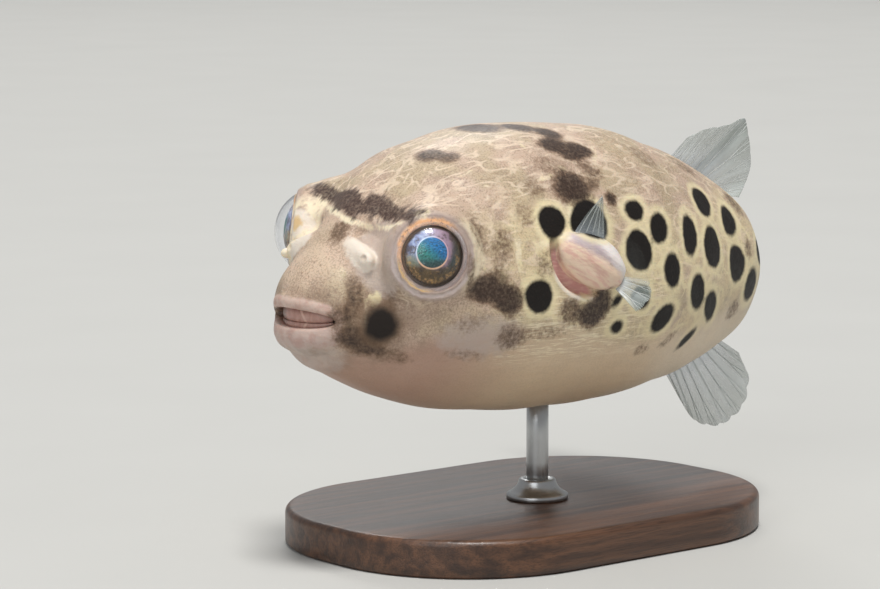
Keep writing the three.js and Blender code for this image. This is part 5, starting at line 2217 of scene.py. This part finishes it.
@dataclass
class Studio:
    """Floor, lamps, sky and camera."""

    yaw: float = 50 * DEG
    elevation: float = 7.5 * DEG
    distance: float = 0.364
    lens: float = 138.0
    aim: Triple = (35.0, 0.0, 2.0)
    aim_right: float = 0.01133
    aim_up: float = 0.00286
    floor_half: float = 8.0

    def floor(self) -> None:
        """A wide pale floor with a hardly visible mottle."""
        corners = np.array([(-1, -1, 0), (1, -1, 0), (1, 1, 0), (-1, 1, 0)]) * self.floor_half
        graph = Finish("pale floor")
        mottle = graph.wire("ShaderNodeTexCoord", "Object").noise(30.0, 3)
        colour = graph.mix(mottle, srgb(186, 186, 183), srgb(192, 192, 189))
        graph.shade(Base_Color=colour, Roughness=mottle * 0.1 + 0.75)
        make_mesh("studio_floor", corners, [(0, 1, 2, 3)], graph.material, smooth=False)

    def lamp(self, name: str, place: tuple, at: tuple, size: float, power: float, tint: Colour) -> None:
        """Adds a square soft lamp.

        Args:
            name: Its name.
            place: Where it hangs, in metres.
            at: What it points to.
            size: Its side.
            power: Its power in watts.
            tint: Its colour.
        """
        light = bpy.data.lights.new(name, "AREA")
        light.size = size
        light.energy = power
        light.color = tint
        lamp = add_object(name, light)
        lamp.location = place
        lamp.rotation_euler = (Vector(at) - Vector(place)).to_track_quat("-Z", "Y").to_euler()

    def lights(self) -> None:
        """A soft key from high above, a faint fill beside the camera and a faint rim behind."""
        middle = (0.0, 0.0, 0.025)
        self.lamp("key", (-0.45, -0.75, 2.9), middle, 0.8, 78.0, (1.0, 0.985, 0.96))
        self.lamp("fill", (-1.3, -0.6, 0.7), middle, 0.9, 5.5, (0.95, 0.98, 1.0))
        self.lamp("rim", (0.9, 1.2, 1.1), middle, 0.5, 6.0, (1.0, 0.99, 0.97))
        world = bpy.data.worlds.new("studio air")
        world.use_nodes = True
        background = world.node_tree.nodes["Background"]
        background.inputs["Color"].default_value = (0.98, 0.99, 1.0, 1)
        background.inputs["Strength"].default_value = 0.34
        bpy.context.scene.world = world

    def camera(self) -> None:
        """The camera at the fish's left front, a little above it."""
        flat = math.cos(self.elevation)
        back = Vector((-math.cos(self.yaw) * flat, -math.sin(self.yaw) * flat, math.sin(self.elevation)))
        right = (-back).cross(Vector((0, 0, 1))).normalized()
        up = right.cross(-back)
        target = Vector(BACKBONE.place(np.array([self.aim]))[0])
        place = target + back * self.distance - right * self.aim_right - up * self.aim_up
        data = bpy.data.cameras.new("camera")
        data.lens = self.lens
        data.sensor_width = 36.0
        data.clip_start = 0.01
        data.clip_end = 50.0
        camera = add_object("camera", data)
        turn = Matrix((right, up, back)).transposed().to_4x4()
        camera.matrix_world = Matrix.Translation(place) @ turn
        bpy.context.scene.camera = camera

    def build(self) -> None:
        """Sets everything up."""
        self.camera()
        self.floor()
        self.lights()
        bpy.context.scene.view_settings.view_transform = "Standard"


def settle_piece(piece: Piece, slot: str) -> None:
    """Hangs a piece on the model's body and logs its face count and slot."""
    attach(piece, "root")
    LOG.info("%s: %d faces, slot %s", piece.name, len(piece.data.polygons), slot)


def main() -> None:
    """Builds the model and the studio."""
    logging.basicConfig(level=logging.INFO, format="%(message)s")
    Studio().build()
    settle_piece(Skin().build(), "skin")
    iris, clear, milky = IrisFinish().build(), clear_finish(), haze_finish()
    for side in (LEFT, RIGHT):
        eye = Eye(side)
        for piece in (eye.ball(iris), eye.cornea(clear), eye.haze(milky)):
            settle_piece(piece, "eye")
    enamel = beak_finish()
    beak = Beak()
    settle_piece(beak.plate("upper_plate", 1, enamel), "beak")
    settle_piece(beak.plate("lower_plate", -1, enamel), "beak")
    sweep, membrane, horn = RaySweep(), membrane_finish(), ray_finish()
    for fin in all_fins():
        settle_piece(fin.membrane(membrane), "fin")
        settle_piece(fin.struts(sweep, horn), "fin")
    for piece, slot in Stand().build():
        settle_piece(piece, slot)


if __name__ == "__main__":
    main()
